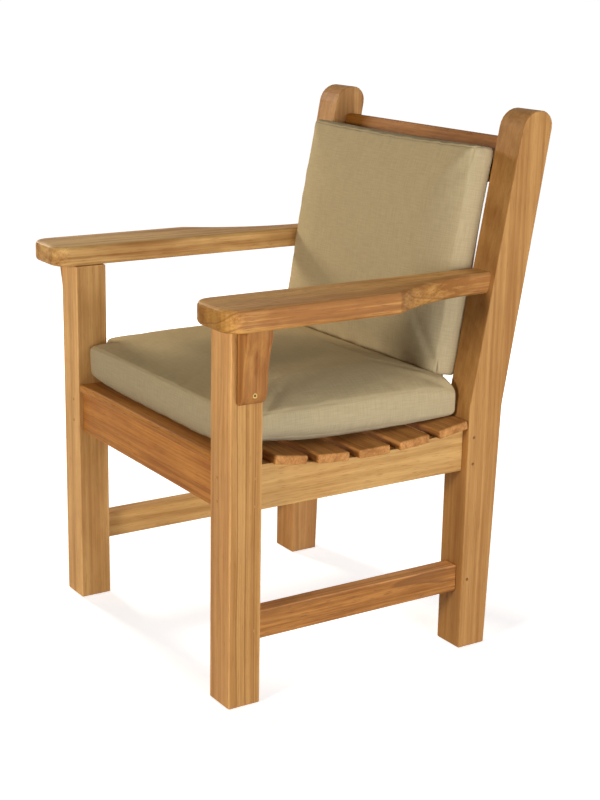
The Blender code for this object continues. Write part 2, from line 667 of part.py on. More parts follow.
screw_height = bracket_foot + SCREW_ABOVE_FOOT
screw_drop = (waist_foot - screw_height) / BRACKET_FOOT_ROUND
screw_face = BRACKET_FOOT_THICKNESS * sqrt(1 - min(1.0, max(0.0, screw_drop)) ** 2)
for side, sign in SIDES:
    outline = [(sign * (bracket_bed + thickness), height) for thickness, height in bracket_profile]
    bracket_form = outline_form(outline, "Y", BRACKET_SETBACK, BRACKET_SETBACK + BRACKET_WIDTH)
    bracket = new_object("arm_bracket_" + side, bracket_form)
    ease_edges(bracket, EDGE_ROUND, 1)
    give_finish(bracket, TEAK_RED, WOOD_ROUGHNESS)
    mouth = (
        sign * (bracket_bed + screw_face - SCREW_RECESS),
        BRACKET_SETBACK + BRACKET_WIDTH / 2,
        screw_height,
    )
    turn = Vector((-sign, 0, 0)).to_track_quat("Z", "Y").to_euler()
    tip = SCREW_LENGTH - 2 * SCREW_SHANK_RADIUS
    screw_profile = [
        (0, 0),
        (SCREW_HEAD_RADIUS, 0),
        (SCREW_SHANK_RADIUS, SCREW_HEAD_DEPTH),
        (SCREW_SHANK_RADIUS, tip),
        (0, SCREW_LENGTH),
    ]
    screw = new_object("bracket_screw_" + side, round_form(screw_profile, SCREW_SIDES), mouth)
    screw.rotation_euler = turn
    give_finish(screw, BRASS, BRASS_ROUGHNESS, 1.0)
    slot_width = SCREW_HEAD_RADIUS / 4
    slot_length = SCREW_HEAD_RADIUS * 1.1
    for name, size in (
        ("_slot_upright", (slot_width, slot_length, slot_width)),
        ("_slot_level", (slot_length, slot_width, slot_width)),
    ):
        slot = new_object(screw.name + name, box_form(size), mouth)
        slot.rotation_euler = turn
        join(screw, slot, "DIFFERENCE")
    head_hole = SCREW_HEAD_RADIUS + FIT_CLEARANCE
    shank_hole = SCREW_SHANK_RADIUS + FIT_CLEARANCE
    hole_profile = [
        (0, -BRACKET_FOOT_THICKNESS),
        (head_hole, -BRACKET_FOOT_THICKNESS),
        (head_hole, 0),
        (shank_hole, SCREW_HEAD_DEPTH),
        (shank_hole, SCREW_LENGTH + FIT_CLEARANCE),
        (0, SCREW_LENGTH + FIT_CLEARANCE),
    ]
    drill = new_object(screw.name + "_hole", round_form(hole_profile, SCREW_SIDES), mouth)
    drill.rotation_euler = turn
    join(bracket, drill, "DIFFERENCE")
    join(front_legs[side], drill, "DIFFERENCE")


def grid_lines(half, radius, count, extra=()):
    """Places of a cushion's grid lines: close together in its round edges, evenly apart between them."""
    inner = half - radius
    lines = {half, half - radius * EDGE_LINE_SHARE, inner}
    lines |= {-line for line in lines}
    lines |= {-inner + 2 * inner * step / count for step in range(1, count)}
    return sorted(lines | set(extra))


def cushion_form(lines, half, radius, shape):
    """Closed pillow: a box of grid lines with rounded edges, each point then moved by shape."""
    form = bmesh.new()
    counts = [len(axis) - 1 for axis in lines]
    corners = {}

    def corner(*place):
        if place not in corners:
            point = Vector([axis[index] for axis, index in zip(lines, place)])
            core = Vector([min(max(v, radius - h), h - radius) for v, h in zip(point, half)])
            edge = point - core
            power = CUSHION_CORNER_POWER
            plan = (abs(edge.x) ** power + abs(edge.y) ** power) ** (1 / power)
            corners[place] = form.verts.new(shape(core + edge * (radius / hypot(plan, edge.z))))
        return corners[place]

    for axis in range(3):
        first, second = [other for other in range(3) if other != axis]
        for level in (0, counts[axis]):
            for i in range(counts[first]):
                for j in range(counts[second]):
                    ring = []
                    for step_i, step_j in ((0, 0), (1, 0), (1, 1), (0, 1)):
                        place = [level] * 3
                        place[first] = i + step_i
                        place[second] = j + step_j
                        ring.append(corner(*place))
                    form.faces.new(ring)
    return form


def drawn_in(place, half):
    """Move a point so that the sides pull in between the corners."""
    share_x = place.x / half[0]
    share_y = place.y / half[1]
    place.x -= CUSHION_DRAW_IN * share_x ** 3 * (1 - share_y ** 2)
    place.y -= CUSHION_DRAW_IN * share_y ** 3 * (1 - share_x ** 2)
    return place


def crown_share(share):
    """Share of the crown's full rise at a share of the way from a cushion's middle to its edge."""
    return 1 - abs(share) ** CUSHION_CROWN_POWER


# Seat cushion, held between the front legs and wider behind them, lying in the dish, crowned on top
seat_rear = POST_FRONT - SEAT_CUSHION_POST_GAP
seat_half = (
    LEG_INNER + SEAT_CUSHION_BULGE,
    (seat_rear - SEAT_CUSHION_FRONT) / 2,
    SEAT_CUSHION_THICKNESS / 2,
)
seat_middle = (seat_rear + SEAT_CUSHION_FRONT) / 2
seat_base = front_slat_top + FIT_CLEARANCE
seat_waist = (LEG_INNER - CUSHION_SIDE_GAP) / seat_half[0]
shoulder_front = FRONT_LEG_DEPTH + CUSHION_SIDE_GAP


def seat_spread(setback):
    """Share of the seat cushion's full width at a distance behind the front legs' front face."""
    share = min(1.0, max(0.0, (setback - shoulder_front) / SEAT_CUSHION_SHOULDER))
    return seat_waist + (1 - seat_waist) * sqrt(1 - (1 - share) ** 2)


def seat_crown(across, setback):
    """Height of the seat cushion's upper face, which falls off behind its middle."""
    length_share = (setback - seat_middle) / seat_half[1]
    bulge = crown_share(across / seat_half[0]) * crown_share(length_share)
    drop = SEAT_CUSHION_REAR_DROP * max(0.0, length_share) ** 2
    return seat_base + SEAT_CUSHION_THICKNESS + SEAT_CUSHION_CROWN * bulge - drop


def seat_shape(place):
    lift = (place.z + seat_half[2]) / SEAT_CUSHION_THICKNESS
    setback = seat_middle + place.y
    crown = seat_crown(place.x, setback) - seat_base - SEAT_CUSHION_THICKNESS
    sag = seat_surface(setback) - front_slat_top
    place = drawn_in(place, seat_half)
    place.x *= seat_spread(setback)
    return place + Vector((0, 0, crown * lift + sag * (1 - lift)))


shoulder_lines = [shoulder_front + SEAT_CUSHION_SHOULDER * share for share in SHOULDER_LINE_SHARES]
shoulder_lines = [line - seat_middle for line in (*shoulder_lines, first_slat_front)]
seat_lines = (
    grid_lines(seat_half[0], CUSHION_EDGE_RADIUS, CUSHION_COLUMNS),
    grid_lines(seat_half[1], CUSHION_EDGE_RADIUS, SEAT_CUSHION_ROWS, shoulder_lines),
    grid_lines(seat_half[2], CUSHION_EDGE_RADIUS, 1),
)
seat_cushion = new_object(
    "seat_cushion",
    cushion_form(seat_lines, seat_half, CUSHION_EDGE_RADIUS, seat_shape),
    (0, seat_middle, seat_base + seat_half[2]),
)
give_finish(seat_cushion, KHAKI_CLOTH, CLOTH_ROUGHNESS)

# Back cushion, standing on the seat cushion and leaning on the top rail
back_plane = BACK_RAIL_SETBACK - FIT_CLEARANCE - BACK_CUSHION_THICKNESS / 2
back_foot_front = back_point(back_reach(seat_base, back_plane), back_plane - BACK_CUSHION_THICKNESS / 2)[0]
back_tread = back_foot_front + BACK_CUSHION_TREAD * CUSHION_EDGE_RADIUS
back_base = seat_crown(0, back_tread) + FIT_CLEARANCE
back_low = back_reach(back_base, back_plane)
back_high = back_reach(TOP_RAIL_TOP - BACK_CUSHION_TOP_DROP, back_plane)
back_half = (LEG_INNER - CUSHION_SIDE_GAP, (back_high - back_low) / 2, BACK_CUSHION_THICKNESS / 2)


def back_shape(place):
    """The cushion is made lying down, Y up its length and Z to the sitter. It stands level on its foot, and
    its sides are thinner than its middle, so that they stay in front of the posts."""
    forward = (place.z + back_half[2]) / BACK_CUSHION_THICKNESS
    low = (back_half[1] - place.y) / (2 * back_half[1])
    share_x = place.x / back_half[0]
    share_y = place.y / back_half[1]
    bulge = BACK_CUSHION_CROWN * crown_share(share_x) * crown_share(share_y) * forward
    thinned = BACK_CUSHION_EDGE_FORWARD * abs(share_x) ** BACK_CUSHION_EDGE_POWER * (1 - forward)
    level = place.z * tan(POST_RAKE) * low
    return drawn_in(place, back_half) + Vector((0, -level, bulge + thinned))


back_lines = (
    grid_lines(back_half[0], CUSHION_EDGE_RADIUS, CUSHION_COLUMNS),
    grid_lines(back_half[1], CUSHION_EDGE_RADIUS, BACK_CUSHION_ROWS),
    grid_lines(back_half[2], CUSHION_EDGE_RADIUS, 1),
)
back_cushion = new_object(
    "back_cushion",
    cushion_form(back_lines, back_half, CUSHION_EDGE_RADIUS, back_shape),
    (0, *back_point((back_low + back_high) / 2, back_plane)),
    POST_RAKE - pi / 2,
)
give_finish(back_cushion, KHAKI_CLOTH, CLOTH_ROUGHNESS)

# The chair's middle, between the arms' front ends and the backs of the posts, goes to the origin
chair_rear = max(setback for setback, height in post_profile)
chair.location = (0, (ARM_OVERHANG - chair_rear) / 2, 0)
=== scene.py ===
"""Looks of an outdoor teak armchair with a loose seat cushion and a loose back cushion.

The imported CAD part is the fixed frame, in metres, +Z up, the sitter facing -Y. Its teak boards, pins and
screws stay and get their finishes here. The two cushions are made here as sewn covers over foam.
"""

from math import cos, exp, pi, radians, sin, sqrt, tan

import bmesh
import bpy
from mathutils import Euler, Matrix, Vector, noise
from mathutils.bvhtree import BVHTree


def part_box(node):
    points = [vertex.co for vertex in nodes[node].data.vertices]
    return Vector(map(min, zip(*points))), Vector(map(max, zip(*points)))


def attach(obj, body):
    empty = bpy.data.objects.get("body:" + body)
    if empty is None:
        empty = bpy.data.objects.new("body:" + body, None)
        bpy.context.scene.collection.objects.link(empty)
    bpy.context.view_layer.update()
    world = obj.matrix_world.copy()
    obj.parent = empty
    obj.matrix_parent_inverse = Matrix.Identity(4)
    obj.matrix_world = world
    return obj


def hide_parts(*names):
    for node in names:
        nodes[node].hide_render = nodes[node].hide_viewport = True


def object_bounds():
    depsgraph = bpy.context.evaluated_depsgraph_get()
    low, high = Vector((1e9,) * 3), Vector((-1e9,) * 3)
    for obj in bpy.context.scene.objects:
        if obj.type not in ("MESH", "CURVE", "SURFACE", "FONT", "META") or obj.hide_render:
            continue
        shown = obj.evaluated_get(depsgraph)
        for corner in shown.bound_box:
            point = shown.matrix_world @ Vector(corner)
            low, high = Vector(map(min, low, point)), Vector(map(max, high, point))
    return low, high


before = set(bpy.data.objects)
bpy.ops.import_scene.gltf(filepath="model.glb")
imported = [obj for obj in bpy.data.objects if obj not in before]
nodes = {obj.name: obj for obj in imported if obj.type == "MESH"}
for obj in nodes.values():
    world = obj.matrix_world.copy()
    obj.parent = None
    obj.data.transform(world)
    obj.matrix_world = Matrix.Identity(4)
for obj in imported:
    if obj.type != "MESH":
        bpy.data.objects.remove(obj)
cad_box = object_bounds()

# Front legs and rear posts
# Square-sawn solid teak, oiled once and left bare. The legs are straight, the posts are cut to their bend
# from a wider plank, so the grain runs straight up through both and shows as stripes on the faces.


def feed(tree, item, inputs):
    """Link a node's named inputs to the outputs of other nodes, or set them to plain values."""
    for key, value in inputs.items():
        if isinstance(value, bpy.types.NodeSocket):
            tree.links.new(value, item.inputs[key])
        else:
            item.inputs[key].default_value = value


NODE_GAP = 240
NODES_IN_COLUMN = 6


def add_node(tree, kind, inputs, **settings):
    """Add a shader node next to the ones before it, set its properties and feed its inputs."""
    item = tree.nodes.new(kind)
    column, row = divmod(len(tree.nodes), NODES_IN_COLUMN)
    item.location = (column * NODE_GAP, -row * NODE_GAP)
    for key, value in settings.items():
        setattr(item, key, value)
    feed(tree, item, inputs)
    return item


def math_node(tree, operation, *values):
    """Result of a Math node over outputs or plain numbers."""
    return add_node(tree, "ShaderNodeMath", dict(enumerate(values)), operation=operation).outputs[0]


def vector_node(tree, operation, *values):
    """Result of a Vector Math node over outputs or plain vectors."""
    item = add_node(tree, "ShaderNodeVectorMath", dict(enumerate(values)), operation=operation)
    return item.outputs["Value" if operation in ("LENGTH", "DOT_PRODUCT") else "Vector"]


def stretched(tree, vector, scale):
    """A vector multiplied by three plain numbers."""
    return vector_node(tree, "MULTIPLY", vector, scale)


def unsigned_parts(tree, vector):
    """Sizes of a vector's three parts without their signs."""
    return add_node(tree, "ShaderNodeSeparateXYZ", {"Vector": vector_node(tree, "ABSOLUTE", vector)}).outputs


def cloudy(tree, vector, detail=2.0, roughness=0.5):
    """Outputs of a noise of unit size over a vector."""
    inputs = {"Vector": vector, "Scale": 1.0, "Detail": detail, "Roughness": roughness}
    return add_node(tree, "ShaderNodeTexNoise", inputs).outputs


def speckle(tree, vector, detail=2.0, roughness=0.5):
    """Value of a noise of unit size over a vector."""
    return cloudy(tree, vector, detail, roughness)["Fac"]


def between(tree, value, low, high):
    """A value spread smoothly from 0 at low to 1 at high."""
    inputs = {"Value": value, "From Min": low, "From Max": high}
    return add_node(tree, "ShaderNodeMapRange", inputs, interpolation_type="SMOOTHSTEP").outputs["Result"]


def mixed(tree, factor, first, second, blend="MIX"):
    """Colour between two colours, each an output or plain values."""
    item = add_node(tree, "ShaderNodeMix", {}, data_type="RGBA", blend_type=blend)
    order = [socket.identifier for socket in item.inputs]
    values = {"Factor_Float": factor, "A_Color": first, "B_Color": second}
    feed(tree, item, {order.index(name): value for name, value in values.items()})
    return next(socket for socket in item.outputs if socket.identifier == "Result_Color")


def new_group(name, inputs, outputs):
    """A node group with named sockets, and the nodes by which values enter and leave it."""
    group = bpy.data.node_groups.new(name, "ShaderNodeTree")
    for way, sockets in (("INPUT", inputs), ("OUTPUT", outputs)):
        for label, kind in sockets.items():
            group.interface.new_socket(label, in_out=way, socket_type=kind)
    return group, add_node(group, "NodeGroupInput", {}), add_node(group, "NodeGroupOutput", {})


def new_material(name):
    """A material, its node tree and its Principled shader."""
    material = bpy.data.materials.new(name)
    material.use_nodes = True
    tree = material.node_tree
    return material, tree, tree.nodes["Principled BSDF"]


# Teak in board coordinates, Z along the grain and the tree's heart on the Z axis: growth rings that wander
# along the board, each with its own tone, fine fibres, open pores drawn out along the grain and slow changes
# of tone. A face turned up is paler, partly bleached by the sun and partly painted top light. Each face is
# also painted lighter or darker by the side it turns to, as painted light and shade, rounded edges get a
# painted highlight, and end grain is darker, which on the near arm also stands for painted shade.
BEND_SCALE = (11, 11, 2.2)
FIBRE_SCALE = (300, 300, 6)
STREAK_SCALE = (85, 85, 1.4)
PORE_SCALE = (820, 820, 42)
PATCH_SCALE = (17, 17, 5)
ACROSS_GRAIN = (1, 1, 0)
RING_SPREAD = (0.28, 0.72)
RING_STRENGTHS = (0.25, 1.0)
STREAK_SPREAD = (0.28, 0.74)
PATCH_SPREAD = (0.28, 0.72)
FIBRE_SPREAD = (0.25, 0.75)
PORE_SPREAD = (0.58, 0.72)
LATE_WOOD_START, LATE_WOOD_PEAK, LATE_WOOD_END = 0.50, 0.94, 1.0
MIDDLE_TONE = 0.5
RING_TONE = 0.46
STREAK_TONE = 0.50
PORE_TONE = 1.2
END_FIBRE_LOSS = 1.3
UPWARD_SPREAD = (0.6, 0.95)
EDGE_SPREAD = (0.985, 0.90)
PALE_FADING = 0.12
WOOD_DULLNESS = 0.48
FIBRE_DULLNESS = 0.22
PORE_DULLNESS = 0.14
PORE_SINK = 0.8
LATE_WOOD_RISE = 0.35
teak, teak_in, teak_out = new_group(
    "teak_grain",
    {
        "Board": "NodeSocketVector",
        "Pale": "NodeSocketColor",
        "Brown": "NodeSocketColor",
        "Vein": "NodeSocketColor",
        "Ring Spacing": "NodeSocketFloat",
        "Wander": "NodeSocketFloat",
        "Veining": "NodeSocketFloat",
        "Blotch": "NodeSocketFloat",
        "Fibre": "NodeSocketFloat",
        "Facing": "NodeSocketVector",
        "Bleach And Top Light": "NodeSocketFloat",
        "Painted Side Light": "NodeSocketVector",
        "End Grain And Shade": "NodeSocketVector",
        "Painted Edge Highlight": "NodeSocketFloat",
    },
    {"Color": "NodeSocketColor", "Roughness": "NodeSocketFloat", "Height": "NodeSocketFloat"},
)
grown = teak_in.outputs
slow_bend = cloudy(teak, stretched(teak, grown["Board"], BEND_SCALE))["Color"]
slow_bend = vector_node(teak, "SUBTRACT", slow_bend, (MIDDLE_TONE, MIDDLE_TONE, MIDDLE_TONE))
slow_bend = vector_node(teak, "MULTIPLY", slow_bend, grown["Wander"])
bent_board = vector_node(teak, "ADD", slow_bend, grown["Board"])
heart_gap = vector_node(teak, "LENGTH", stretched(teak, bent_board, ACROSS_GRAIN))
ring = math_node(teak, "DIVIDE", heart_gap, grown["Ring Spacing"])
ring_place = add_node(teak, "ShaderNodeCombineXYZ", {"X": ring}).outputs["Vector"]
ring_shade = speckle(teak, ring_place, roughness=0.6)
ring_number = {"W": math_node(teak, "FLOOR", ring)}
ring_own = add_node(teak, "ShaderNodeTexWhiteNoise", ring_number, noise_dimensions="1D").outputs["Value"]
ring_step = math_node(teak, "FRACT", ring)
late_rise = between(teak, ring_step, LATE_WOOD_START, LATE_WOOD_PEAK)
late_fall = between(teak, ring_step, LATE_WOOD_END, LATE_WOOD_PEAK)
late_wood = math_node(teak, "MULTIPLY", late_rise, late_fall)
late_wood = math_node(teak, "MULTIPLY", late_wood, between(teak, ring_own, *RING_STRENGTHS))
fibre = speckle(teak, stretched(teak, grown["Board"], FIBRE_SCALE), detail=3.0)
streak = speckle(teak, stretched(teak, bent_board, STREAK_SCALE), detail=3.0)
pores = speckle(teak, stretched(teak, grown["Board"], PORE_SCALE), detail=1.0)
pores = between(teak, pores, *PORE_SPREAD)
patch = speckle(teak, stretched(teak, grown["Board"], PATCH_SCALE), detail=3.0, roughness=0.6)
# End grain faces are darker; on the near arm this darkening also paints shade on the scoop.
end_grain_and_shade_dark = math_node(teak, "ABSOLUTE", vector_node(teak, "DOT_PRODUCT", grown["Facing"], grown["End Grain And Shade"]))
fibre_shown = math_node(teak, "MULTIPLY_ADD", end_grain_and_shade_dark, -END_FIBRE_LOSS, 1.0)
fibre_share = math_node(teak, "MULTIPLY", grown["Fibre"], fibre_shown)

tone = math_node(teak, "MULTIPLY", between(teak, ring_shade, *RING_SPREAD), RING_TONE)
tone = math_node(teak, "MULTIPLY_ADD", between(teak, streak, *STREAK_SPREAD), STREAK_TONE, tone)
patch_tone = math_node(teak, "SUBTRACT", between(teak, patch, *PATCH_SPREAD), MIDDLE_TONE)
tone = math_node(teak, "MULTIPLY_ADD", patch_tone, grown["Blotch"], tone)
fibre_tone = math_node(teak, "SUBTRACT", between(teak, fibre, *FIBRE_SPREAD), MIDDLE_TONE)
tone = math_node(teak, "MULTIPLY_ADD", fibre_tone, fibre_share, tone)
board_colour = mixed(teak, tone, grown["Pale"], grown["Brown"])
vein_share = math_node(teak, "MULTIPLY", late_wood, grown["Veining"])
board_colour = mixed(teak, vein_share, board_colour, grown["Vein"])
pore_share = math_node(teak, "MULTIPLY", pores, math_node(teak, "MULTIPLY", fibre_share, PORE_TONE))
board_colour = mixed(teak, pore_share, board_colour, grown["Vein"])

# Faces turned up are paler: partly sun bleaching, partly painted top light.
upward = add_node(teak, "ShaderNodeSeparateXYZ", {"Vector": grown["Facing"]}).outputs["Z"]
bleach_and_top_light_share = math_node(teak, "MULTIPLY", between(teak, upward, *UPWARD_SPREAD), grown["Bleach And Top Light"])
board_colour = mixed(teak, bleach_and_top_light_share, board_colour, grown["Pale"], "SCREEN")
# Painted light and shade: each face is made lighter or darker by the side it turns to.
painted_light_by_side = vector_node(teak, "DOT_PRODUCT", grown["Facing"], grown["Painted Side Light"])
painted_light_and_end_grain = math_node(teak, "SUBTRACT", painted_light_by_side, end_grain_and_shade_dark)
# Painted highlight along rounded edges, where a face turns between two sides.
face_parts = unsigned_parts(teak, grown["Facing"])
flatness = math_node(teak, "MAXIMUM", face_parts["X"], face_parts["Y"])
flatness = math_node(teak, "MAXIMUM", flatness, face_parts["Z"])
painted_light_and_end_grain = math_node(teak, "MULTIPLY_ADD", between(teak, flatness, *EDGE_SPREAD), grown["Painted Edge Highlight"], painted_light_and_end_grain)
painted_face_tone = {
    "Color": board_colour,
    "Value": math_node(teak, "ADD", painted_light_and_end_grain, 1.0),
    "Saturation": math_node(teak, "MULTIPLY_ADD", painted_light_and_end_grain, -PALE_FADING, 1.0),
}
dull = math_node(teak, "MULTIPLY_ADD", fibre, FIBRE_DULLNESS, WOOD_DULLNESS)
relief = math_node(teak, "MULTIPLY_ADD", pores, -PORE_SINK, fibre)
feed(
    teak,
    teak_out,
    {
        "Color": add_node(teak, "ShaderNodeHueSaturation", painted_face_tone).outputs["Color"],
        "Roughness": math_node(teak, "MULTIPLY_ADD", pores, PORE_DULLNESS, dull),
        "Height": math_node(teak, "MULTIPLY_ADD", late_wood, LATE_WOOD_RISE, relief),
    },
)

VEIN = (0.20, 0.075, 0.020)
RELIEF_SHARE = 0.5
RELIEF_DEPTH = 0.00035
BARE_WOOD_SHINE = 0.12


def middle_of(node):
    """Middle of a CAD piece's box."""
    low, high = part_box(node)
    return (Vector(low) + Vector(high)) / 2


def put_on(node, material):
    """Make a material the only one of a CAD piece."""
    nodes[node].data.materials.clear()
    nodes[node].data.materials.append(material)


def teak_finish(
    node, grain, heart, pale, brown, spacing=0.008, wander=0.012, veining=0.35, blotch=0.3, fibre=0.22,
    bleach_and_top_light=0.1, painted_side_light=(0, 0, 0), end_grain_and_shade=(0, 0, 0), painted_edge_highlight=0.0,
):
    """Give a CAD board its own teak. The heart is where the tree's middle lay, in metres from the board's
    middle, in board coordinates whose Z runs along the grain. Each face is painted lighter or darker by the
    side it turns to, as painted light and shade, its rounded edges are paler as a painted highlight, and its
    faces are darker where end grain shows, partly as painted shade. Its tops are paler, partly bleached by
    the sun and partly painted top light."""
    material, tree, shader = new_material(node + "_teak")
    coordinates = add_node(tree, "ShaderNodeTexCoord", {}).outputs
    laid = {
        "Vector": coordinates["Object"],
        "Location": Vector(heart) - grain.to_matrix() @ middle_of(node),
        "Rotation": grain,
    }
    board = {
        "Board": add_node(tree, "ShaderNodeMapping", laid).outputs["Vector"],
        "Pale": (*pale, 1),
        "Brown": (*brown, 1),
        "Vein": (*VEIN, 1),
        "Ring Spacing": spacing,
        "Wander": wander,
        "Veining": veining,
        "Blotch": blotch,
        "Fibre": fibre,
        "Facing": coordinates["Normal"],
        "Bleach And Top Light": bleach_and_top_light,
        "Painted Side Light": painted_side_light,
        "End Grain And Shade": end_grain_and_shade,
        "Painted Edge Highlight": painted_edge_highlight,
    }
    wood = add_node(tree, "ShaderNodeGroup", board, node_tree=teak).outputs
    relief = {"Height": wood["Height"], "Strength": RELIEF_SHARE, "Distance": RELIEF_DEPTH}
    feed(
        tree,
        shader,
        {
            "Base Color": wood["Color"],
            "Roughness": wood["Roughness"],
            "Specular IOR Level": BARE_WOOD_SHINE,
            "Normal": add_node(tree, "ShaderNodeBump", relief).outputs["Normal"],
        },
    )
    put_on(node, material)


GRAIN_UP = Euler((0, 0, 0))
LEG_PALE = (0.620, 0.325, 0.105)
LEG_BROWN = (0.370, 0.158, 0.041)
FAR_LEG_PALE = (0.612, 0.338, 0.112)
FAR_LEG_BROWN = (0.366, 0.165, 0.044)
POST_PALE = (0.522, 0.260, 0.079)
POST_BROWN = (0.322, 0.133, 0.034)
# Each leg and post below is painted lighter or darker on its faces by the side they turn to, as painted
# light and shade, and the front legs get a painted highlight along their rounded edges.
teak_finish(
    "front_leg_left", GRAIN_UP, (0.012, 0.110, 0.3), LEG_PALE, LEG_BROWN,
    spacing=0.0075, veining=0.55, painted_side_light=(-0.11, -0.16, 0), painted_edge_highlight=0.24,
)
teak_finish(
    "front_leg_right", GRAIN_UP, (-0.020, 0.095, 1.1), FAR_LEG_PALE, FAR_LEG_BROWN,
    spacing=0.010, veining=0.12, blotch=0.5, painted_side_light=(0.04, -0.24, 0), painted_edge_highlight=0.20,
)
teak_finish(
    "rear_post_left", GRAIN_UP, (0.035, 0.330, 2.3), POST_PALE, POST_BROWN,
    spacing=0.011, veining=0.18, painted_side_light=(0, 0.14, 0),
)
teak_finish(
    "rear_post_right", GRAIN_UP, (-0.060, 0.310, 3.7), POST_PALE, POST_BROWN,
    spacing=0.011, veining=0.1, blotch=0.4, painted_side_light=(0.25, 0.06, 0),
)

# Side seat rails and side stretchers
# Straight teak rails, tenoned into the legs and posts. The seat rails are dished along their tops for the
# slats; the stretchers are lower boards that keep the feet apart. Their figure is long and lazy.
GRAIN_BACK = Euler((pi / 2, 0, 0))
RAIL_PALE = (0.636, 0.363, 0.120)
RAIL_BROWN = (0.384, 0.177, 0.047)
STRETCHER_PALE = (0.485, 0.200, 0.044)
STRETCHER_BROWN = (0.236, 0.080, 0.015)
# The near seat rail and stretcher get a painted highlight along their edges, and the stretcher's top is
# painted paler as top light, partly also as sun bleaching.
teak_finish(
    "side_seat_rail_left", GRAIN_BACK, (0.080, 0.020, 0.6), RAIL_PALE, RAIL_BROWN,
    spacing=0.013, wander=0.030, veining=0.3, fibre=0.34, painted_edge_highlight=0.25,
)
teak_finish(
    "side_seat_rail_right", GRAIN_BACK, (-0.075, 0.020, 1.9), RAIL_PALE, RAIL_BROWN,
    spacing=0.013, wander=0.03,
)
teak_finish(
    "side_stretcher_left", GRAIN_BACK, (0.034, 0.012, 4.1), STRETCHER_PALE, STRETCHER_BROWN,
    spacing=0.0075, wander=0.040, veining=0.80, blotch=0.6, fibre=0.75, bleach_and_top_light=0.5,
    painted_side_light=(0.09, 0, 0.40), painted_edge_highlight=0.25,
)
teak_finish(
    "side_stretcher_right", GRAIN_BACK, (0.045, -0.020, 5.2), RAIL_PALE, RAIL_BROWN,
    spacing=0.009, wander=0.03, veining=0.14,
)

# Front seat rail, rear seat rail and top back rail
# Three cross rails that hold the two side frames apart. The front one stands under the front slat, the
# rear one holds the feet of the back slats, and the rounded top one leans with the posts.
GRAIN_ACROSS = Euler((0, -pi / 2, 0))
CROSS_PALE = (0.546, 0.223, 0.044)
CROSS_BROWN = (0.294, 0.094, 0.016)
TOP_RAIL_PALE = (0.41, 0.150, 0.019)
TOP_RAIL_BROWN = (0.185, 0.058, 0.004)
teak_finish(
    "front_seat_rail", GRAIN_ACROSS, (0.020, 0.060, 0.9), CROSS_PALE, CROSS_BROWN,
    spacing=0.010, wander=0.03, veining=0.5, blotch=0.5, fibre=0.42,
)
teak_finish("rear_seat_rail", GRAIN_ACROSS, (0.060, -0.060, 2.4), RAIL_PALE, RAIL_BROWN)
teak_finish(
    "top_back_rail", GRAIN_ACROSS, (0.080, 0.030, 3.3), TOP_RAIL_PALE, TOP_RAIL_BROWN,
    spacing=0.008, wander=0.02, blotch=0.7, fibre=0.4,
)

# Back slats
# Three thin upright teak slats let into the rear seat rail and the top rail. The back cushion leans on the
# rail in front of them, so they are seen from behind.
POST_RAKE = radians(10.2)
GRAIN_RAKED = Euler((POST_RAKE, 0, 0))


def heart_of(number, reach, turn, step):
    """Heart of one of several like boards, each sawn from another place round the tree."""
    return reach * cos(turn * number), reach * sin(turn * number), step * number


for number in range(1, 4):
    heart = heart_of(number, reach=0.090, turn=1.3, step=0.8)
    teak_finish(f"back_slat_{number}", GRAIN_RAKED, heart, RAIL_PALE, RAIL_BROWN, spacing=0.010)

# Seat slats
# A front slat between the legs with a rounded nose, then five slats that lie across the dished side rails
# and run out to their faces, so that their sawn ends show.
SLAT_PALE = (0.55, 0.245, 0.066)
SLAT_BROWN = (0.31, 0.118, 0.027)
# The front slat's front face is painted darker as shade, and the slats' ends on the near side are painted
# lighter, as painted light.
teak_finish(
    "front_seat_slat", GRAIN_ACROSS, (0.080, 0.020, 4.4), CROSS_PALE, CROSS_BROWN,
    spacing=0.010, blotch=0.5, fibre=0.5, painted_side_light=(0, 0.15, 0),
)
for number in range(1, 6):
    heart = heart_of(number, reach=0.080, turn=2.1, step=0.7)
    teak_finish(
        f"seat_slat_{number}", GRAIN_ACROSS, heart, SLAT_PALE, SLAT_BROWN,
        spacing=0.009, blotch=0.6, fibre=0.5, painted_side_light=(0.10, 0, 0),
    )

# Arms
# Wide flat teak boards with rounded front corners and soft edges, scooped on the outer side behind the
# middle and tenoned into the posts. Their tops are paler, partly bleached by the sun and partly painted top
# light.
ARM_PALE = (0.521, 0.250, 0.060)
ARM_BROWN = (0.272, 0.101, 0.019)
# The near arm's faces are painted lighter or darker by the side they turn to, its scoop is painted darker as
# shade along with its end grain, and the far arm's inner face is painted lighter.
teak_finish(
    "arm_left", GRAIN_BACK, (0.030, 0.110, 1.4), ARM_PALE, ARM_BROWN,
    spacing=0.009, wander=0.030, veining=0.60, blotch=1.1, fibre=0.72, bleach_and_top_light=0.26,
    painted_side_light=(0.26, -0.22, 0.25), end_grain_and_shade=(0, 0.50, 0),
)
teak_finish(
    "arm_right", GRAIN_BACK, (-0.040, 0.120, 6.3), RAIL_PALE, ARM_BROWN,
    spacing=0.011, wander=0.025, veining=0.2, blotch=0.6, fibre=0.3, bleach_and_top_light=0.2, painted_side_light=(0.08, 0, 0),
)

# Arm brackets
# Curved teak blocks under the arms' outer edges, cut from a redder plank with the grain upright. Each is
# screwed to the outer face of its front leg near its foot.
BRACKET_PALE = (0.430, 0.188, 0.048)
BRACKET_BROWN = (0.208, 0.062, 0.013)
for side, heart in (("left", (0.030, 0.095, 0.5)), ("right", (-0.030, 0.095, 2.6))):
    teak_finish(
        f"arm_bracket_{side}", GRAIN_UP, heart, BRACKET_PALE, BRACKET_BROWN,
        spacing=0.009, blotch=0.8,
    )

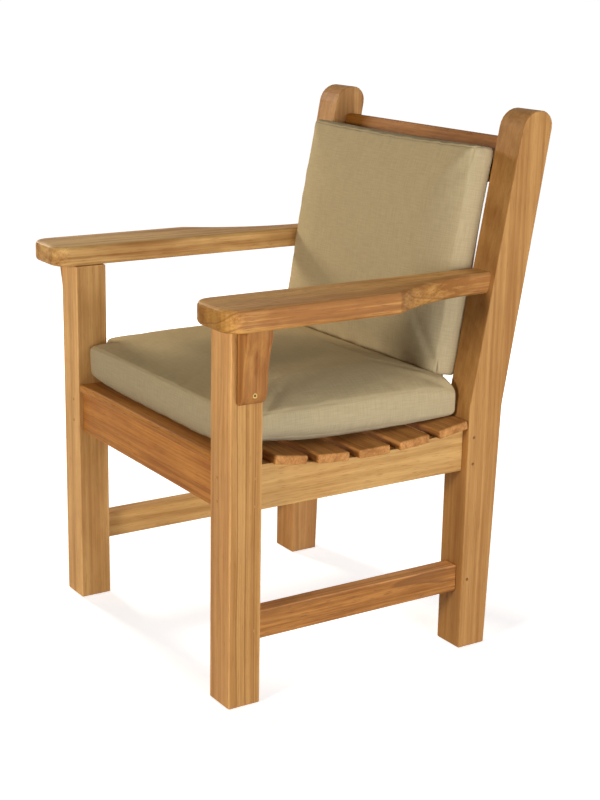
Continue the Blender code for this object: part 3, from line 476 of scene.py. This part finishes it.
# Bracket screws
# Brass wood screws with a cross slot, sunk level with the bracket. The brass has dulled where the driver
# didn't rub it, and the left screw's head is darker in its middle, round the slot.
BRASS_RUBBED = (0.50, 0.32, 0.11, 1)
BRASS_DULLED = (0.26, 0.155, 0.045, 1)
SLOT_DARK = (0.05, 0.03, 0.012, 1)
SLOT_DARK_SPREAD = (0.0026, 0.0012)
TARNISH_SCALE = (900, 900, 900)
TARNISH_DULLNESS = 0.25
BRASS_DULLNESS = 0.42
ACROSS_SCREW = (0, 1, 1)
brass, brass_tree, brass_shader = new_material("dulled_brass")
brass_place = add_node(brass_tree, "ShaderNodeTexCoord", {}).outputs["Object"]
tarnish = speckle(brass_tree, stretched(brass_tree, brass_place, TARNISH_SCALE))
# The left screw's head is made darker in its middle, round the slot.
screw_spot = vector_node(brass_tree, "SUBTRACT", brass_place, middle_of("bracket_screw_left"))
screw_reach = vector_node(brass_tree, "LENGTH", stretched(brass_tree, screw_spot, ACROSS_SCREW))
slot_dark = between(brass_tree, screw_reach, *SLOT_DARK_SPREAD)
brass_colour = mixed(brass_tree, tarnish, BRASS_RUBBED, BRASS_DULLED)
feed(
    brass_tree,
    brass_shader,
    {
        "Base Color": mixed(brass_tree, slot_dark, brass_colour, SLOT_DARK),
        "Metallic": 1.0,
        "Roughness": math_node(brass_tree, "MULTIPLY_ADD", tarnish, TARNISH_DULLNESS, BRASS_DULLNESS),
    },
)
for side in ("left", "right"):
    put_on("bracket_screw_" + side, brass)

# Pins
# Round teak pins driven through the tenons and cut flush, so that only their end grain shows. It is darker
# than the faces of the posts, and close to the colour of the front legs.
POST_PIN_PALE = (0.30, 0.125, 0.040, 1)
POST_PIN_DARK = (0.15, 0.055, 0.016, 1)
LEG_PIN_PALE = (0.47, 0.225, 0.064, 1)
LEG_PIN_DARK = (0.37, 0.170, 0.046, 1)
PIN_SPECK_SCALE = (1300, 1300, 1300)
SPECK_DULLNESS = 0.2
PIN_DULLNESS = 0.60


def pin_finish(name, pale, dark):
    """Speckled end grain of a pin."""
    material, tree, shader = new_material(name)
    place = add_node(tree, "ShaderNodeTexCoord", {}).outputs["Object"]
    speck = speckle(tree, stretched(tree, place, PIN_SPECK_SCALE))
    feed(
        tree,
        shader,
        {
            "Base Color": mixed(tree, speck, pale, dark),
            "Roughness": math_node(tree, "MULTIPLY_ADD", speck, SPECK_DULLNESS, PIN_DULLNESS),
            "Specular IOR Level": BARE_WOOD_SHINE,
        },
    )
    return material


post_pin = pin_finish("pin_end_grain", POST_PIN_PALE, POST_PIN_DARK)
leg_pin = pin_finish("leg_pin_end_grain", LEG_PIN_PALE, LEG_PIN_DARK)
for name in nodes:
    if "_pin_" in name:
        put_on(name, leg_pin if "front" in name else post_pin)

# Seat cushion
# A foam slab in a sewn khaki cover with boxed sides and seams round its upper and lower edges. It is
# squeezed between the front legs, swells out behind them to the posts and sags into the dish of the slats.
CLOTH_PALE = (0.496, 0.379, 0.207, 1)
CLOTH_DARK = (0.400, 0.303, 0.162, 1)
THREAD_PITCH = 0.0011
SLUB_LENGTHS = 34.0
SLUB_WIDTHS = 520.0
FACE_SPREAD = (0.5, 0.8)
LEAST_SHARE = 0.05
CLOTH_PATCH_SCALE = (14, 14, 14)
SLUB_SPREAD = (0.62, 1.38)
SLUB_TONE = 0.75
THREAD_TONE = 0.16
CLOTH_PATCH_TONE = 0.20
PAINTED_LIGHT_WARMTH = 0.5
SLUB_RISE = 0.6
WEAVE_SHARE = 0.35
WEAVE_DEPTH = 0.0004
weave, weave_in, weave_out = new_group(
    "khaki_weave",
    {
        "Place": "NodeSocketVector",
        "Facing": "NodeSocketVector",
        "Pale": "NodeSocketColor",
        "Dark": "NodeSocketColor",
        "Painted Light": "NodeSocketVector",
    },
    {"Color": "NodeSocketColor", "Height": "NodeSocketFloat"},
)


def thread_wave(run, across):
    """Threads that lie side by side along one direction and go over and under the other threads."""
    lift, side = (
        math_node(weave, "SINE", math_node(weave, "MULTIPLY", way, pi / THREAD_PITCH))
        for way in (run, across)
    )
    return math_node(weave, "MULTIPLY", lift, side)


def slub(run, across):
    """Thick and thin stretches of single threads, long along the run and one thread wide."""
    along = math_node(weave, "MULTIPLY", run, SLUB_LENGTHS)
    thread = math_node(weave, "MULTIPLY", across, SLUB_WIDTHS)
    spot = add_node(weave, "ShaderNodeCombineXYZ", {"X": along, "Y": thread}).outputs["Vector"]
    return speckle(weave, spot)


woven = weave_in.outputs
place_parts = add_node(weave, "ShaderNodeSeparateXYZ", {"Vector": woven["Place"]}).outputs
facing_parts = unsigned_parts(weave, woven["Facing"])
weave_lift = weave_slub = share_sum = 0.0
for faced, run, across in ("XYZ", "YXZ", "ZXY"):
    warp, weft = place_parts[run], place_parts[across]
    share = between(weave, facing_parts[faced], *FACE_SPREAD)
    slubs = math_node(weave, "ADD", slub(warp, weft), slub(weft, warp))
    weave_lift = math_node(weave, "MULTIPLY_ADD", thread_wave(warp, weft), share, weave_lift)
    weave_slub = math_node(weave, "MULTIPLY_ADD", slubs, share, weave_slub)
    share_sum = math_node(weave, "ADD", share_sum, share)
share_sum = math_node(weave, "MAXIMUM", share_sum, LEAST_SHARE)
weave_lift = math_node(weave, "DIVIDE", weave_lift, share_sum)
weave_slub = math_node(weave, "DIVIDE", weave_slub, share_sum)
cloth_patch = speckle(weave, stretched(weave, woven["Place"], CLOTH_PATCH_SCALE))
cloth_tone = math_node(weave, "MULTIPLY", between(weave, weave_slub, *SLUB_SPREAD), SLUB_TONE)
cloth_tone = math_node(weave, "MULTIPLY_ADD", weave_lift, THREAD_TONE, cloth_tone)
cloth_tone = math_node(weave, "MULTIPLY_ADD", cloth_patch, CLOTH_PATCH_TONE, cloth_tone)
# Painted light and shade: faces turned towards the given direction are made lighter and warmer, those turned
# away darker.
painted_light_side = vector_node(weave, "DOT_PRODUCT", woven["Facing"], woven["Painted Light"])
painted_light_tone = {
    "Color": mixed(weave, cloth_tone, woven["Pale"], woven["Dark"]),
    "Value": math_node(weave, "ADD", painted_light_side, 1.0),
    "Saturation": math_node(weave, "MULTIPLY_ADD", painted_light_side, PAINTED_LIGHT_WARMTH, 1.0),
}
feed(
    weave,
    weave_out,
    {
        "Color": add_node(weave, "ShaderNodeHueSaturation", painted_light_tone).outputs["Color"],
        "Height": math_node(weave, "MULTIPLY_ADD", weave_slub, SLUB_RISE, weave_lift),
    },
)


def cover_cloth(name, turn, painted_light):
    """Khaki cloth whose threads follow a cushion that is turned about X, painted lighter and warmer on the
    side it is given as painted light, and darker on the opposite side as painted shade.
    """
    material, tree, shader = new_material(name)
    coordinates = add_node(tree, "ShaderNodeTexCoord", {}).outputs
    laid = {"Vector": coordinates["Object"], "Rotation": (turn, 0, 0)}
    faced = {"Vector": coordinates["Normal"], "Rotation": (turn, 0, 0)}
    cover = {
        "Place": add_node(tree, "ShaderNodeMapping", laid).outputs["Vector"],
        "Facing": add_node(tree, "ShaderNodeMapping", faced, vector_type="NORMAL").outputs["Vector"],
        "Pale": CLOTH_PALE,
        "Dark": CLOTH_DARK,
        "Painted Light": painted_light,
    }
    cloth = add_node(tree, "ShaderNodeGroup", cover, node_tree=weave).outputs
    threads = {"Height": cloth["Height"], "Strength": WEAVE_SHARE, "Distance": WEAVE_DEPTH}
    feed(
        tree,
        shader,
        {
            "Base Color": cloth["Color"],
            "Roughness": 0.92,
            "Specular IOR Level": 0.05,
            "Sheen Weight": 0.03,
            "Sheen Roughness": 0.6,
            "Normal": add_node(tree, "ShaderNodeBump", threads).outputs["Normal"],
        },
    )
    return material


def place_object(name, data):
    """Put a mesh, a lamp or a camera into the scene under a name."""
    item = bpy.data.objects.new(name, data)
    bpy.context.collection.objects.link(item)
    return item


def even_lines(half, count, seam):
    """Shares of the way across a cushion for its grid lines, with a line close to each seam."""
    lines = {-1 + 2 * step / count for step in range(count + 1)}
    return sorted(lines | {1 - seam / half, seam / half - 1})


SEAM_LINE = 0.0030
SHARE = "share_of_box"


def boxed_cover(name, half, counts, shape):
    """Closed cover of square cells over a box. shape places each point; its shares of the way to each face
    stay with it, so that the filling and the seams can find it again."""
    lines = [even_lines(side, count, SEAM_LINE) for side, count in zip(half, counts)]
    form = bmesh.new()
    points = {}
    shares = []

    def point(*place):
        """Point where three grid lines meet, made when it is first asked for."""
        if place not in points:
            share = Vector([axis[index] for axis, index in zip(lines, place)])
            points[place] = form.verts.new(shape(share))
            shares.append(share)
        return points[place]

    steps = [len(axis) - 1 for axis in lines]
    for axis in range(3):
        first, second = [other for other in range(3) if other != axis]
        for level in (0, steps[axis]):
            for i in range(steps[first]):
                for j in range(steps[second]):
                    ring = []
                    for step_i, step_j in ((0, 0), (1, 0), (1, 1), (0, 1)):
                        place = [level] * 3
                        place[first] = i + step_i
                        place[second] = j + step_j
                        ring.append(point(*place))
                    form.faces.new(ring)
    bmesh.ops.recalc_face_normals(form, faces=form.faces)
    mesh = bpy.data.meshes.new(name)
    form.to_mesh(mesh)
    form.free()
    kept = mesh.attributes.new(SHARE, "FLOAT_VECTOR", "POINT")
    for entry, share in zip(kept.data, shares):
        entry.vector = share
    return place_object(name, mesh)


def shares_of(piece):
    """Shares of the way to each face that the points of a cover have kept."""
    return [entry.vector.copy() for entry in piece.data.attributes[SHARE].data]


def smooth_step(low, high, value):
    """Share of the way from low to high, eased at both ends."""
    share = min(1.0, max(0.0, (value - low) / (high - low)))
    return share * share * (3 - 2 * share)


def rounded_share(share, half, upper, lower, corner_power=6):
    """Point of a box with rounded edges, squarer in plan, from its shares of the way to each face."""
    radius = upper if share.z > 0 else lower
    point = Vector([part * side for part, side in zip(share, half)])
    core = Vector([min(max(v, radius - side), side - radius) for v, side in zip(point, half)])
    edge = point - core
    plan = (abs(edge.x) ** corner_power + abs(edge.y) ** corner_power) ** (1 / corner_power)
    return core + edge * (radius / sqrt(plan ** 2 + edge.z ** 2))


RESTING_SIDE = -0.6
SEAM_SIDE = 0.999
SEAM_HOLD = 0.6
FILL_PRESSURE = 4.0
FILL_MOMENTS = 20


def hold(share):
    """How firmly a cover is held while it fills: by what it rests on or leans on, and by its seams."""
    if share.z < RESTING_SIDE:
        return 1.0
    faces = sum(abs(part) > SEAM_SIDE for part in share)
    return SEAM_HOLD if faces > 1 else 0.0


def swell(piece, cap):
    """Fill a cover with air as cloth, except where it is held, and move no point further than the cap."""
    start = [vertex.co.copy() for vertex in piece.data.vertices]
    group = piece.vertex_groups.new(name="held")
    for index, share in enumerate(shares_of(piece)):
        weight = hold(share)
        if weight > 0:
            group.add([index], weight, "REPLACE")
    cloth = piece.modifiers.new("filling", "CLOTH")
    cloth.settings.quality = 6
    cloth.settings.mass = 0.15
    cloth.settings.tension_stiffness = 25
    cloth.settings.compression_stiffness = 25
    cloth.settings.shear_stiffness = 12
    cloth.settings.bending_stiffness = 0.6
    cloth.settings.use_pressure = True
    cloth.settings.uniform_pressure_force = FILL_PRESSURE
    cloth.settings.effector_weights.gravity = 0
    cloth.settings.vertex_group_mass = "held"
    cloth.collision_settings.use_collision = False
    scene = bpy.context.scene
    for moment in range(1, FILL_MOMENTS + 1):
        scene.frame_set(moment)
    depsgraph = bpy.context.evaluated_depsgraph_get()
    filled = [vertex.co.copy() for vertex in piece.evaluated_get(depsgraph).data.vertices]
    piece.modifiers.remove(cloth)
    scene.frame_set(1)
    for vertex, before, after in zip(piece.data.vertices, start, filled):
        move = after - before
        if move.length > cap:
            move *= cap / move.length
        vertex.co = before + move
    piece.vertex_groups.clear()


def refine(piece):
    """Add one subdivision to the mesh itself."""
    smooth = piece.modifiers.new("fine", "SUBSURF")
    smooth.levels = 1
    smooth.render_levels = 1
    depsgraph = bpy.context.evaluated_depsgraph_get()
    fine = bpy.data.meshes.new_from_object(piece.evaluated_get(depsgraph))
    piece.modifiers.remove(smooth)
    rough = piece.data
    piece.data = fine
    bpy.data.meshes.remove(rough)
    fine.shade_smooth()


SEAM_DEPTH = 0.0012
SEAM_WIDTH = 0.0028
CORNER_SEAM = 0.7
GATHER_SHARE = 0.7
GATHER_SCALE = 60
PUCKER_SCALE = 38
PUCKER_REACH = 0.020


def sew(piece, half, tightness=None):
    """Draw a cover in along the seams round its upper and lower edges and up its corners, with the small
    gathers that the stitches make, and less where the seam lies slack over the foam."""
    mesh = piece.data
    normals = [vertex.normal.copy() for vertex in mesh.vertices]
    for vertex, normal, share in zip(mesh.vertices, normals, shares_of(piece)):
        gap = [(1 - abs(part)) * side for part, side in zip(share, half)]
        rim = sqrt(min(gap[0], gap[1]) ** 2 + gap[2] ** 2) / SEAM_WIDTH
        corner = sqrt(gap[0] ** 2 + gap[1] ** 2) / SEAM_WIDTH
        gather = 1 + GATHER_SHARE * noise.noise(vertex.co * GATHER_SCALE)
        pucker = noise.noise(vertex.co * PUCKER_SCALE) * exp(-(rim * SEAM_WIDTH / PUCKER_REACH) ** 2)
        drawn = SEAM_DEPTH * (tightness(share) if tightness else 1.0)
        vertex.co -= normal * drawn * (gather * (exp(-rim ** 2) + CORNER_SEAM * exp(-corner ** 2)) + pucker)


def finish_cover(piece, body, cloth):
    """Hand a finished cushion over in place of the CAD solid of the same name."""
    piece.data.attributes.remove(piece.data.attributes[SHARE])
    piece.data.materials.append(cloth)
    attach(piece, body)
    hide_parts(body)


# Setbacks are measured from the front faces of the front legs, which stand behind the ends of the arms.
ARM_OVERHANG = 0.0365
DEPTH_SHIFT = cad_box[0][1] + ARM_OVERHANG
CLEAR = 0.0006
LEG_INNER = 0.239
LEG_REAR = 0.058
POST_FRONT = 0.4655
POST_BEND = 0.433
SEAT_FRONT = 0.0195
SEAT_REAR = 0.4625
SEAT_BULGE = 0.030
SEAT_SHOULDER = 0.016
SEAT_SIDE_GAP = 0.0022
SEAT_BASE = 0.4131
SEAT_THICKNESS = 0.0705
SEAT_CROWN = 0.016
SEAT_CROWN_LEFT = 5
SEAT_CROWN_RIGHT = 10
SEAT_FRONT_EDGE = 0.013
SEAT_SIDE_EDGE = 0.014
SEAT_ROLL = 0.045
SEAT_ROLL_DROP = 0.018
SEAT_CORNER_DROP = 0.012
SEAT_LOWER_FRONT = 0.014
SEAT_LOWER_SIDE = 0.034
SEAT_LOWER_REAR = 0.017
SEAT_EDGE_STIFF = 0.85
SEAT_EDGE_TUCK = 0.010
SEAT_FRONT_LEAN = 0.003
SEAT_SWELL = 0.008
SEAT_CELLS = (72, 60, 11)
# The seat cover's top and rear are painted lighter and its front and underside darker, as painted light and
# shade.
SEAT_PAINTED_LIGHT = (0, 0.12, 0.15)
DRAW_IN = 0.004
DISH_LOW = 0.3965
DISH_SETBACK = 0.267
DISH_RADIUS = 1.05
FIRST_SLAT = 0.0835
seat_half = Vector((LEG_INNER + SEAT_BULGE, (SEAT_REAR - SEAT_FRONT) / 2, SEAT_THICKNESS / 2))
seat_middle = (SEAT_REAR + SEAT_FRONT) / 2


def dish(setback):
    """Height of the slats under the seat cushion."""
    reach = max(setback, FIRST_SLAT) - DISH_SETBACK
    return DISH_LOW + DISH_RADIUS - sqrt(DISH_RADIUS ** 2 - reach ** 2)


def crown_share(share, power=4):
    """Share of a crown's height that is left part of the way to an edge."""
    return 1 - min(1.0, abs(share)) ** power


def rolled_away(gap, reach):
    """Share of a round-over at a gap from its edge, 1 at the edge and 0 past its reach."""
    return 1 - sqrt(1 - min(1.0, max(0.0, 1 - gap / reach)) ** 2)


def seat_place(share):
    """Point of the seat cushion's cover before it is filled."""
    upper = SEAT_FRONT_EDGE + (SEAT_SIDE_EDGE - SEAT_FRONT_EDGE) * smooth_step(-1.0, -0.6, share.y)
    lower = SEAT_LOWER_FRONT + (SEAT_LOWER_SIDE - SEAT_LOWER_FRONT) * smooth_step(-0.95, -0.7, share.y)
    lower += (SEAT_LOWER_REAR - SEAT_LOWER_SIDE) * smooth_step(-0.4, 0.9, share.y)
    point = rounded_share(share, seat_half, upper, lower)
    lift = (point.z + seat_half.z) / SEAT_THICKNESS
    setback = seat_middle + point.y
    u = point.x / seat_half.x
    v = point.y / seat_half.y
    crown = SEAT_CROWN * crown_share(u, SEAT_CROWN_LEFT if u > 0 else SEAT_CROWN_RIGHT) * crown_share(v)
    drop = SEAT_ROLL_DROP + SEAT_CORNER_DROP * smooth_step(0.5, 0.95, v)
    crown -= drop * rolled_away(seat_half.x - point.x, SEAT_ROLL)
    sag = dish(setback) - dish(0.0)
    sag += (SEAT_EDGE_TUCK * smooth_step(0.20, 0.07, setback) - SEAT_EDGE_STIFF * sag) * u ** 4
    point.x -= DRAW_IN * u ** 3 * (1 - v ** 2)
    point.y -= DRAW_IN * v ** 3 * (1 - u ** 2)
    point.y += SEAT_FRONT_LEAN * (1 - lift) * smooth_step(-0.75, -1.0, v)
    waist = (LEG_INNER - SEAT_SIDE_GAP) / seat_half.x
    past_leg = min(1.0, max(0.0, (setback - LEG_REAR - CLEAR) / SEAT_SHOULDER))
    point.x *= waist + (1 - waist) * sqrt(1 - (1 - past_leg) ** 2)
    height = SEAT_BASE + seat_half.z + point.z + crown * lift + sag * (1 - lift)
    return Vector((point.x, seat_middle + point.y + DEPTH_SHIFT, height))


def clear_frame(piece):
    """Keep the seat cushion off the legs, the posts and the slats."""
    inner = LEG_INNER - CLEAR
    for vertex in piece.data.vertices:
        x, y, z = vertex.co
        side = 1 if x > 0 else -1
        setback = y - DEPTH_SHIFT
        if abs(x) > inner and setback < LEG_REAR + CLEAR:
            if abs(x) - inner < LEG_REAR + CLEAR - setback:
                x = side * inner
            else:
                setback = LEG_REAR + CLEAR
        if abs(x) > inner:
            setback = min(setback, POST_FRONT - CLEAR)
        vertex.co = (x, setback + DEPTH_SHIFT, max(z, dish(setback) + CLEAR))


seat_cushion = boxed_cover("seat_cushion_cover", seat_half, SEAT_CELLS, seat_place)
swell(seat_cushion, SEAT_SWELL)
clear_frame(seat_cushion)
refine(seat_cushion)
sew(seat_cushion, seat_half)
clear_frame(seat_cushion)
seat_top = BVHTree.FromObject(seat_cushion, bpy.context.evaluated_depsgraph_get())
finish_cover(seat_cushion, "seat_cushion", cover_cloth("seat_cushion_cloth", 0.0, SEAT_PAINTED_LIGHT))

# Back cushion
# A second boxed foam cushion of the same cloth. It stands on the seat cushion and leans on the top rail,
# between the posts, with its corners slightly drawn in by their seams.
BACK_THICKNESS = 0.0690
BACK_CROWN = 0.007
BACK_FRONT_EDGE = 0.012
BACK_ROLL = 0.052
BACK_ROLL_TIGHT = 0.034
BACK_ROLL_DROP = 0.013
BACK_FOOT_EDGE = 0.008
BACK_SIDE_SOFT = 0.014
BACK_REAR_EDGE = 0.011
BACK_HALF_WIDTH = 0.2375
BACK_SIDE_SPREAD = 0.0025
BACK_FAR_SPREAD = 0.0092
BACK_FAR_DRAWN = 0.0084
BACK_FAR_WIDEST = 0.05
BACK_FOOT_THINNED = 0.004
BACK_REAR = 0.0216
BACK_EDGE_FORWARD = 0.017
BACK_EDGE_POWER = 6
BACK_END_SHARE = 0.7
BACK_TOP = 0.8625
BACK_FOOT = 0.4790
BACK_SWELL = 0.007
BACK_CELLS = (62, 52, 11)
BACK_PAINTED_LIGHT = (0, 0, 0)
BACK_SIDE_SLACK = 0.9
BACK_GATHER = 1.2
BACK_FOOT_GATHER = 1.8
ABOVE_SEAT = 0.6
back_middle_depth = BACK_REAR - BACK_THICKNESS / 2


def back_point(along, behind):
    """Depth and height of a point up the raked back and behind the posts' front faces."""
    return (
        POST_FRONT + along * sin(POST_RAKE) + behind * cos(POST_RAKE) + DEPTH_SHIFT,
        POST_BEND + along * cos(POST_RAKE) - behind * sin(POST_RAKE),
    )


def back_reach(height):
    """How far up the raked back the cushion's middle reaches a height."""
    return (height - POST_BEND + back_middle_depth * sin(POST_RAKE)) / cos(POST_RAKE)


back_top = back_reach(BACK_TOP)
back_foot = back_reach(BACK_FOOT)
back_half = Vector((BACK_HALF_WIDTH, (back_top - back_foot) / 2, BACK_THICKNESS / 2))
back_along = (back_top + back_foot) / 2


def back_place(share):
    """Point of the back cushion's cover before it is filled. X is across, Y up the back, Z to the sitter."""
    front = BACK_FOOT_EDGE + (BACK_FRONT_EDGE - BACK_FOOT_EDGE) * smooth_step(-1.0, -0.8, share.y)
    front += (
        BACK_SIDE_SOFT * smooth_step(0.2, 0.9, share.x)
        * smooth_step(0.9, 0.3, share.y) * smooth_step(-1.0, -0.7, share.y)
    )
    point = rounded_share(share, back_half, front, BACK_REAR_EDGE)
    u = point.x / back_half.x
    v = point.y / back_half.y
    forward = (point.z + back_half.z) / BACK_THICKNESS
    bulge = BACK_CROWN * crown_share(u) * crown_share(v) * forward
    side_edge = abs(u) ** BACK_EDGE_POWER * smooth_step(-1.2, 0.6, v)
    edge_share = max(side_edge, BACK_END_SHARE * abs(v) ** BACK_EDGE_POWER)
    rear_edge = BACK_EDGE_FORWARD * edge_share * (1 - forward)
    bulge -= BACK_FOOT_THINNED * ((1 - v) / 2) ** 3 * forward
    reach = BACK_ROLL - BACK_ROLL_TIGHT * smooth_step(0.2, 0.95, v)
    bulge -= BACK_ROLL_DROP * rolled_away(back_half.x - point.x, reach) * forward
    point.x -= (BACK_FAR_SPREAD - BACK_FAR_DRAWN * (v - BACK_FAR_WIDEST) ** 2) * max(0.0, -u) ** 3 * forward
    point.x -= DRAW_IN * u ** 3 * (1 - v ** 2)
    point.y -= DRAW_IN * max(0.0, v) ** 3 * (1 - u ** 2)
    depth, height = back_point(back_along + point.y, back_middle_depth - point.z - bulge - rear_edge)
    return Vector((point.x, depth, height))


def back_tightness(share):
    """How hard a seam draws the back cushion in. The one up the sitter's left side lies slack between its
    corners, and those along the top and the foot are gathered."""
    slack = (
        smooth_step(0.6, 0.9, share.x)
        * smooth_step(0.97, 0.75, share.y) * smooth_step(-0.97, -0.8, share.y)
    )
    tight = smooth_step(0.8, 0.95, share.y) + BACK_FOOT_GATHER * smooth_step(-0.85, -0.97, share.y)
    return 1 - BACK_SIDE_SLACK * slack + BACK_GATHER * tight


def stand_on_seat(piece):
    """Keep the back cushion on top of the seat cushion and between the posts."""
    for vertex in piece.data.vertices:
        x, y, z = vertex.co
        hit = seat_top.ray_cast(Vector((x, y, ABOVE_SEAT)), Vector((0, 0, -1)))[0]
        if hit is not None:
            z = max(z, hit.z + CLEAR)
        post_face = POST_FRONT + (z - POST_BEND) * tan(POST_RAKE) + DEPTH_SHIFT
        free = y < post_face - CLEAR
        near_limit = LEG_INNER - CLEAR + (BACK_SIDE_SPREAD if free else 0.0)
        far_limit = LEG_INNER - CLEAR + (BACK_FAR_SPREAD + BACK_SIDE_SPREAD if free else 0.0)
        vertex.co = (min(max(x, -far_limit), near_limit), y, z)


back_cushion = boxed_cover("back_cushion_cover", back_half, BACK_CELLS, back_place)
swell(back_cushion, BACK_SWELL)
refine(back_cushion)
sew(back_cushion, back_half, back_tightness)
stand_on_seat(back_cushion)
finish_cover(back_cushion, "back_cushion", cover_cloth("back_cushion_cloth", POST_RAKE, BACK_PAINTED_LIGHT))

# Studio floor, light and camera
# A plain white floor under four soft lamps: a large low one on the sitter's left, a small one in front, one
# on the sitter's right and a low one behind. The camera stands where the photograph was taken.
NEAR_GLOW = 0.60
GLOW_SPREAD = (0.5, 2.0)
FLOOR_REACH = 40.0
FLOOR_DROP = 0.0005
FLOOR_WHITE = (0.80, 0.80, 0.80, 1)
ROOM_WHITE = (1, 1, 1, 1)
ROOM_LEVEL = 0.05
LAMP_TARGET = Vector((0, 0, 0.5))


def seen_directly(tree):
    """1 where the camera looks, also by mirrors or through glass, and 0 where light only falls."""
    path = add_node(tree, "ShaderNodeLightPath", {}).outputs
    seen = math_node(tree, "MAXIMUM", path["Is Camera Ray"], path["Is Glossy Ray"])
    return math_node(tree, "MAXIMUM", seen, path["Is Transmission Ray"])


floor_mesh = bpy.data.meshes.new("studio_floor")
floor_form = bmesh.new()
bmesh.ops.create_grid(floor_form, x_segments=1, y_segments=1, size=FLOOR_REACH)
floor_form.to_mesh(floor_mesh)
floor_form.free()
floor = place_object("studio_floor", floor_mesh)
floor.location = (0, 0, -FLOOR_DROP)
white, white_tree, white_shader = new_material("studio_white")
floor_place = add_node(white_tree, "ShaderNodeTexCoord", {}).outputs["Object"]
far_floor = between(white_tree, vector_node(white_tree, "LENGTH", floor_place), *GLOW_SPREAD)
floor_glow = math_node(white_tree, "MULTIPLY_ADD", far_floor, 1.0 - NEAR_GLOW, NEAR_GLOW)
feed(
    white_tree,
    white_shader,
    {
        "Base Color": FLOOR_WHITE,
        "Roughness": 1.0,
        "Specular IOR Level": 0.0,
        "Emission Color": ROOM_WHITE,
        "Emission Strength": math_node(white_tree, "MULTIPLY", seen_directly(white_tree), floor_glow),
    },
)
floor.data.materials.append(white)

world = bpy.data.worlds.new("studio_room")
bpy.context.scene.world = world
world.use_nodes = True
room = world.node_tree
room_glow = math_node(room, "MULTIPLY_ADD", seen_directly(room), 1.0 - ROOM_LEVEL, ROOM_LEVEL)
feed(room, room.nodes["Background"], {"Color": ROOM_WHITE, "Strength": room_glow})


def soft_lamp(name, place, size, power, colour=(1, 1, 1)):
    """Square lamp that faces the chair."""
    data = bpy.data.lights.new(name, "AREA")
    data.shape = "SQUARE"
    data.size = size
    data.energy = power
    data.color = colour
    lamp = place_object(name, data)
    lamp.location = place
    lamp.rotation_euler = (LAMP_TARGET - Vector(place)).to_track_quat("-Z", "Y").to_euler()


soft_lamp("lamp_sitters_left", (3.2, 0.15, 0.65), 1.4, 78, (0.94, 1.02, 1.15))
soft_lamp("lamp_in_front", (1.0, -3.1, 1.2), 0.6, 58.5, (1.0, 0.98, 0.93))
soft_lamp("lamp_sitters_right", (-2.7, -0.35, 1.5), 0.5, 67, (1.0, 0.94, 0.80))
soft_lamp("lamp_behind", (-0.4, 3.0, 0.75), 1.4, 45)

CAMERA_PLACE = Vector((2.2751, -1.16513 + DEPTH_SHIFT, 1.15034))
CAMERA_TURN = radians(56.8483)
CAMERA_DROP = radians(15.4829)
CAMERA_ROLL = radians(1.0866)
FOCAL_PIXELS = 1576.916
PHOTO_HEIGHT = 800
SENSOR = 36.0
camera_right = Vector((cos(CAMERA_TURN), sin(CAMERA_TURN), 0))
camera_back = Vector(
    (sin(CAMERA_TURN) * cos(CAMERA_DROP), -cos(CAMERA_TURN) * cos(CAMERA_DROP), sin(CAMERA_DROP))
)
camera_up = camera_back.cross(camera_right)
rolled_right = cos(CAMERA_ROLL) * camera_right + sin(CAMERA_ROLL) * camera_up
rolled_up = cos(CAMERA_ROLL) * camera_up - sin(CAMERA_ROLL) * camera_right
camera_data = bpy.data.cameras.new("camera")
camera_data.sensor_width = SENSOR
camera_data.lens = FOCAL_PIXELS * SENSOR / PHOTO_HEIGHT
camera = place_object("camera", camera_data)
camera.matrix_world = Matrix(
    (
        (rolled_right.x, rolled_up.x, camera_back.x, CAMERA_PLACE.x),
        (rolled_right.y, rolled_up.y, camera_back.y, CAMERA_PLACE.y),
        (rolled_right.z, rolled_up.z, camera_back.z, CAMERA_PLACE.z),
        (0, 0, 0, 1),
    )
)
bpy.context.scene.camera = camera
bpy.context.scene.view_settings.view_transform = "Standard"
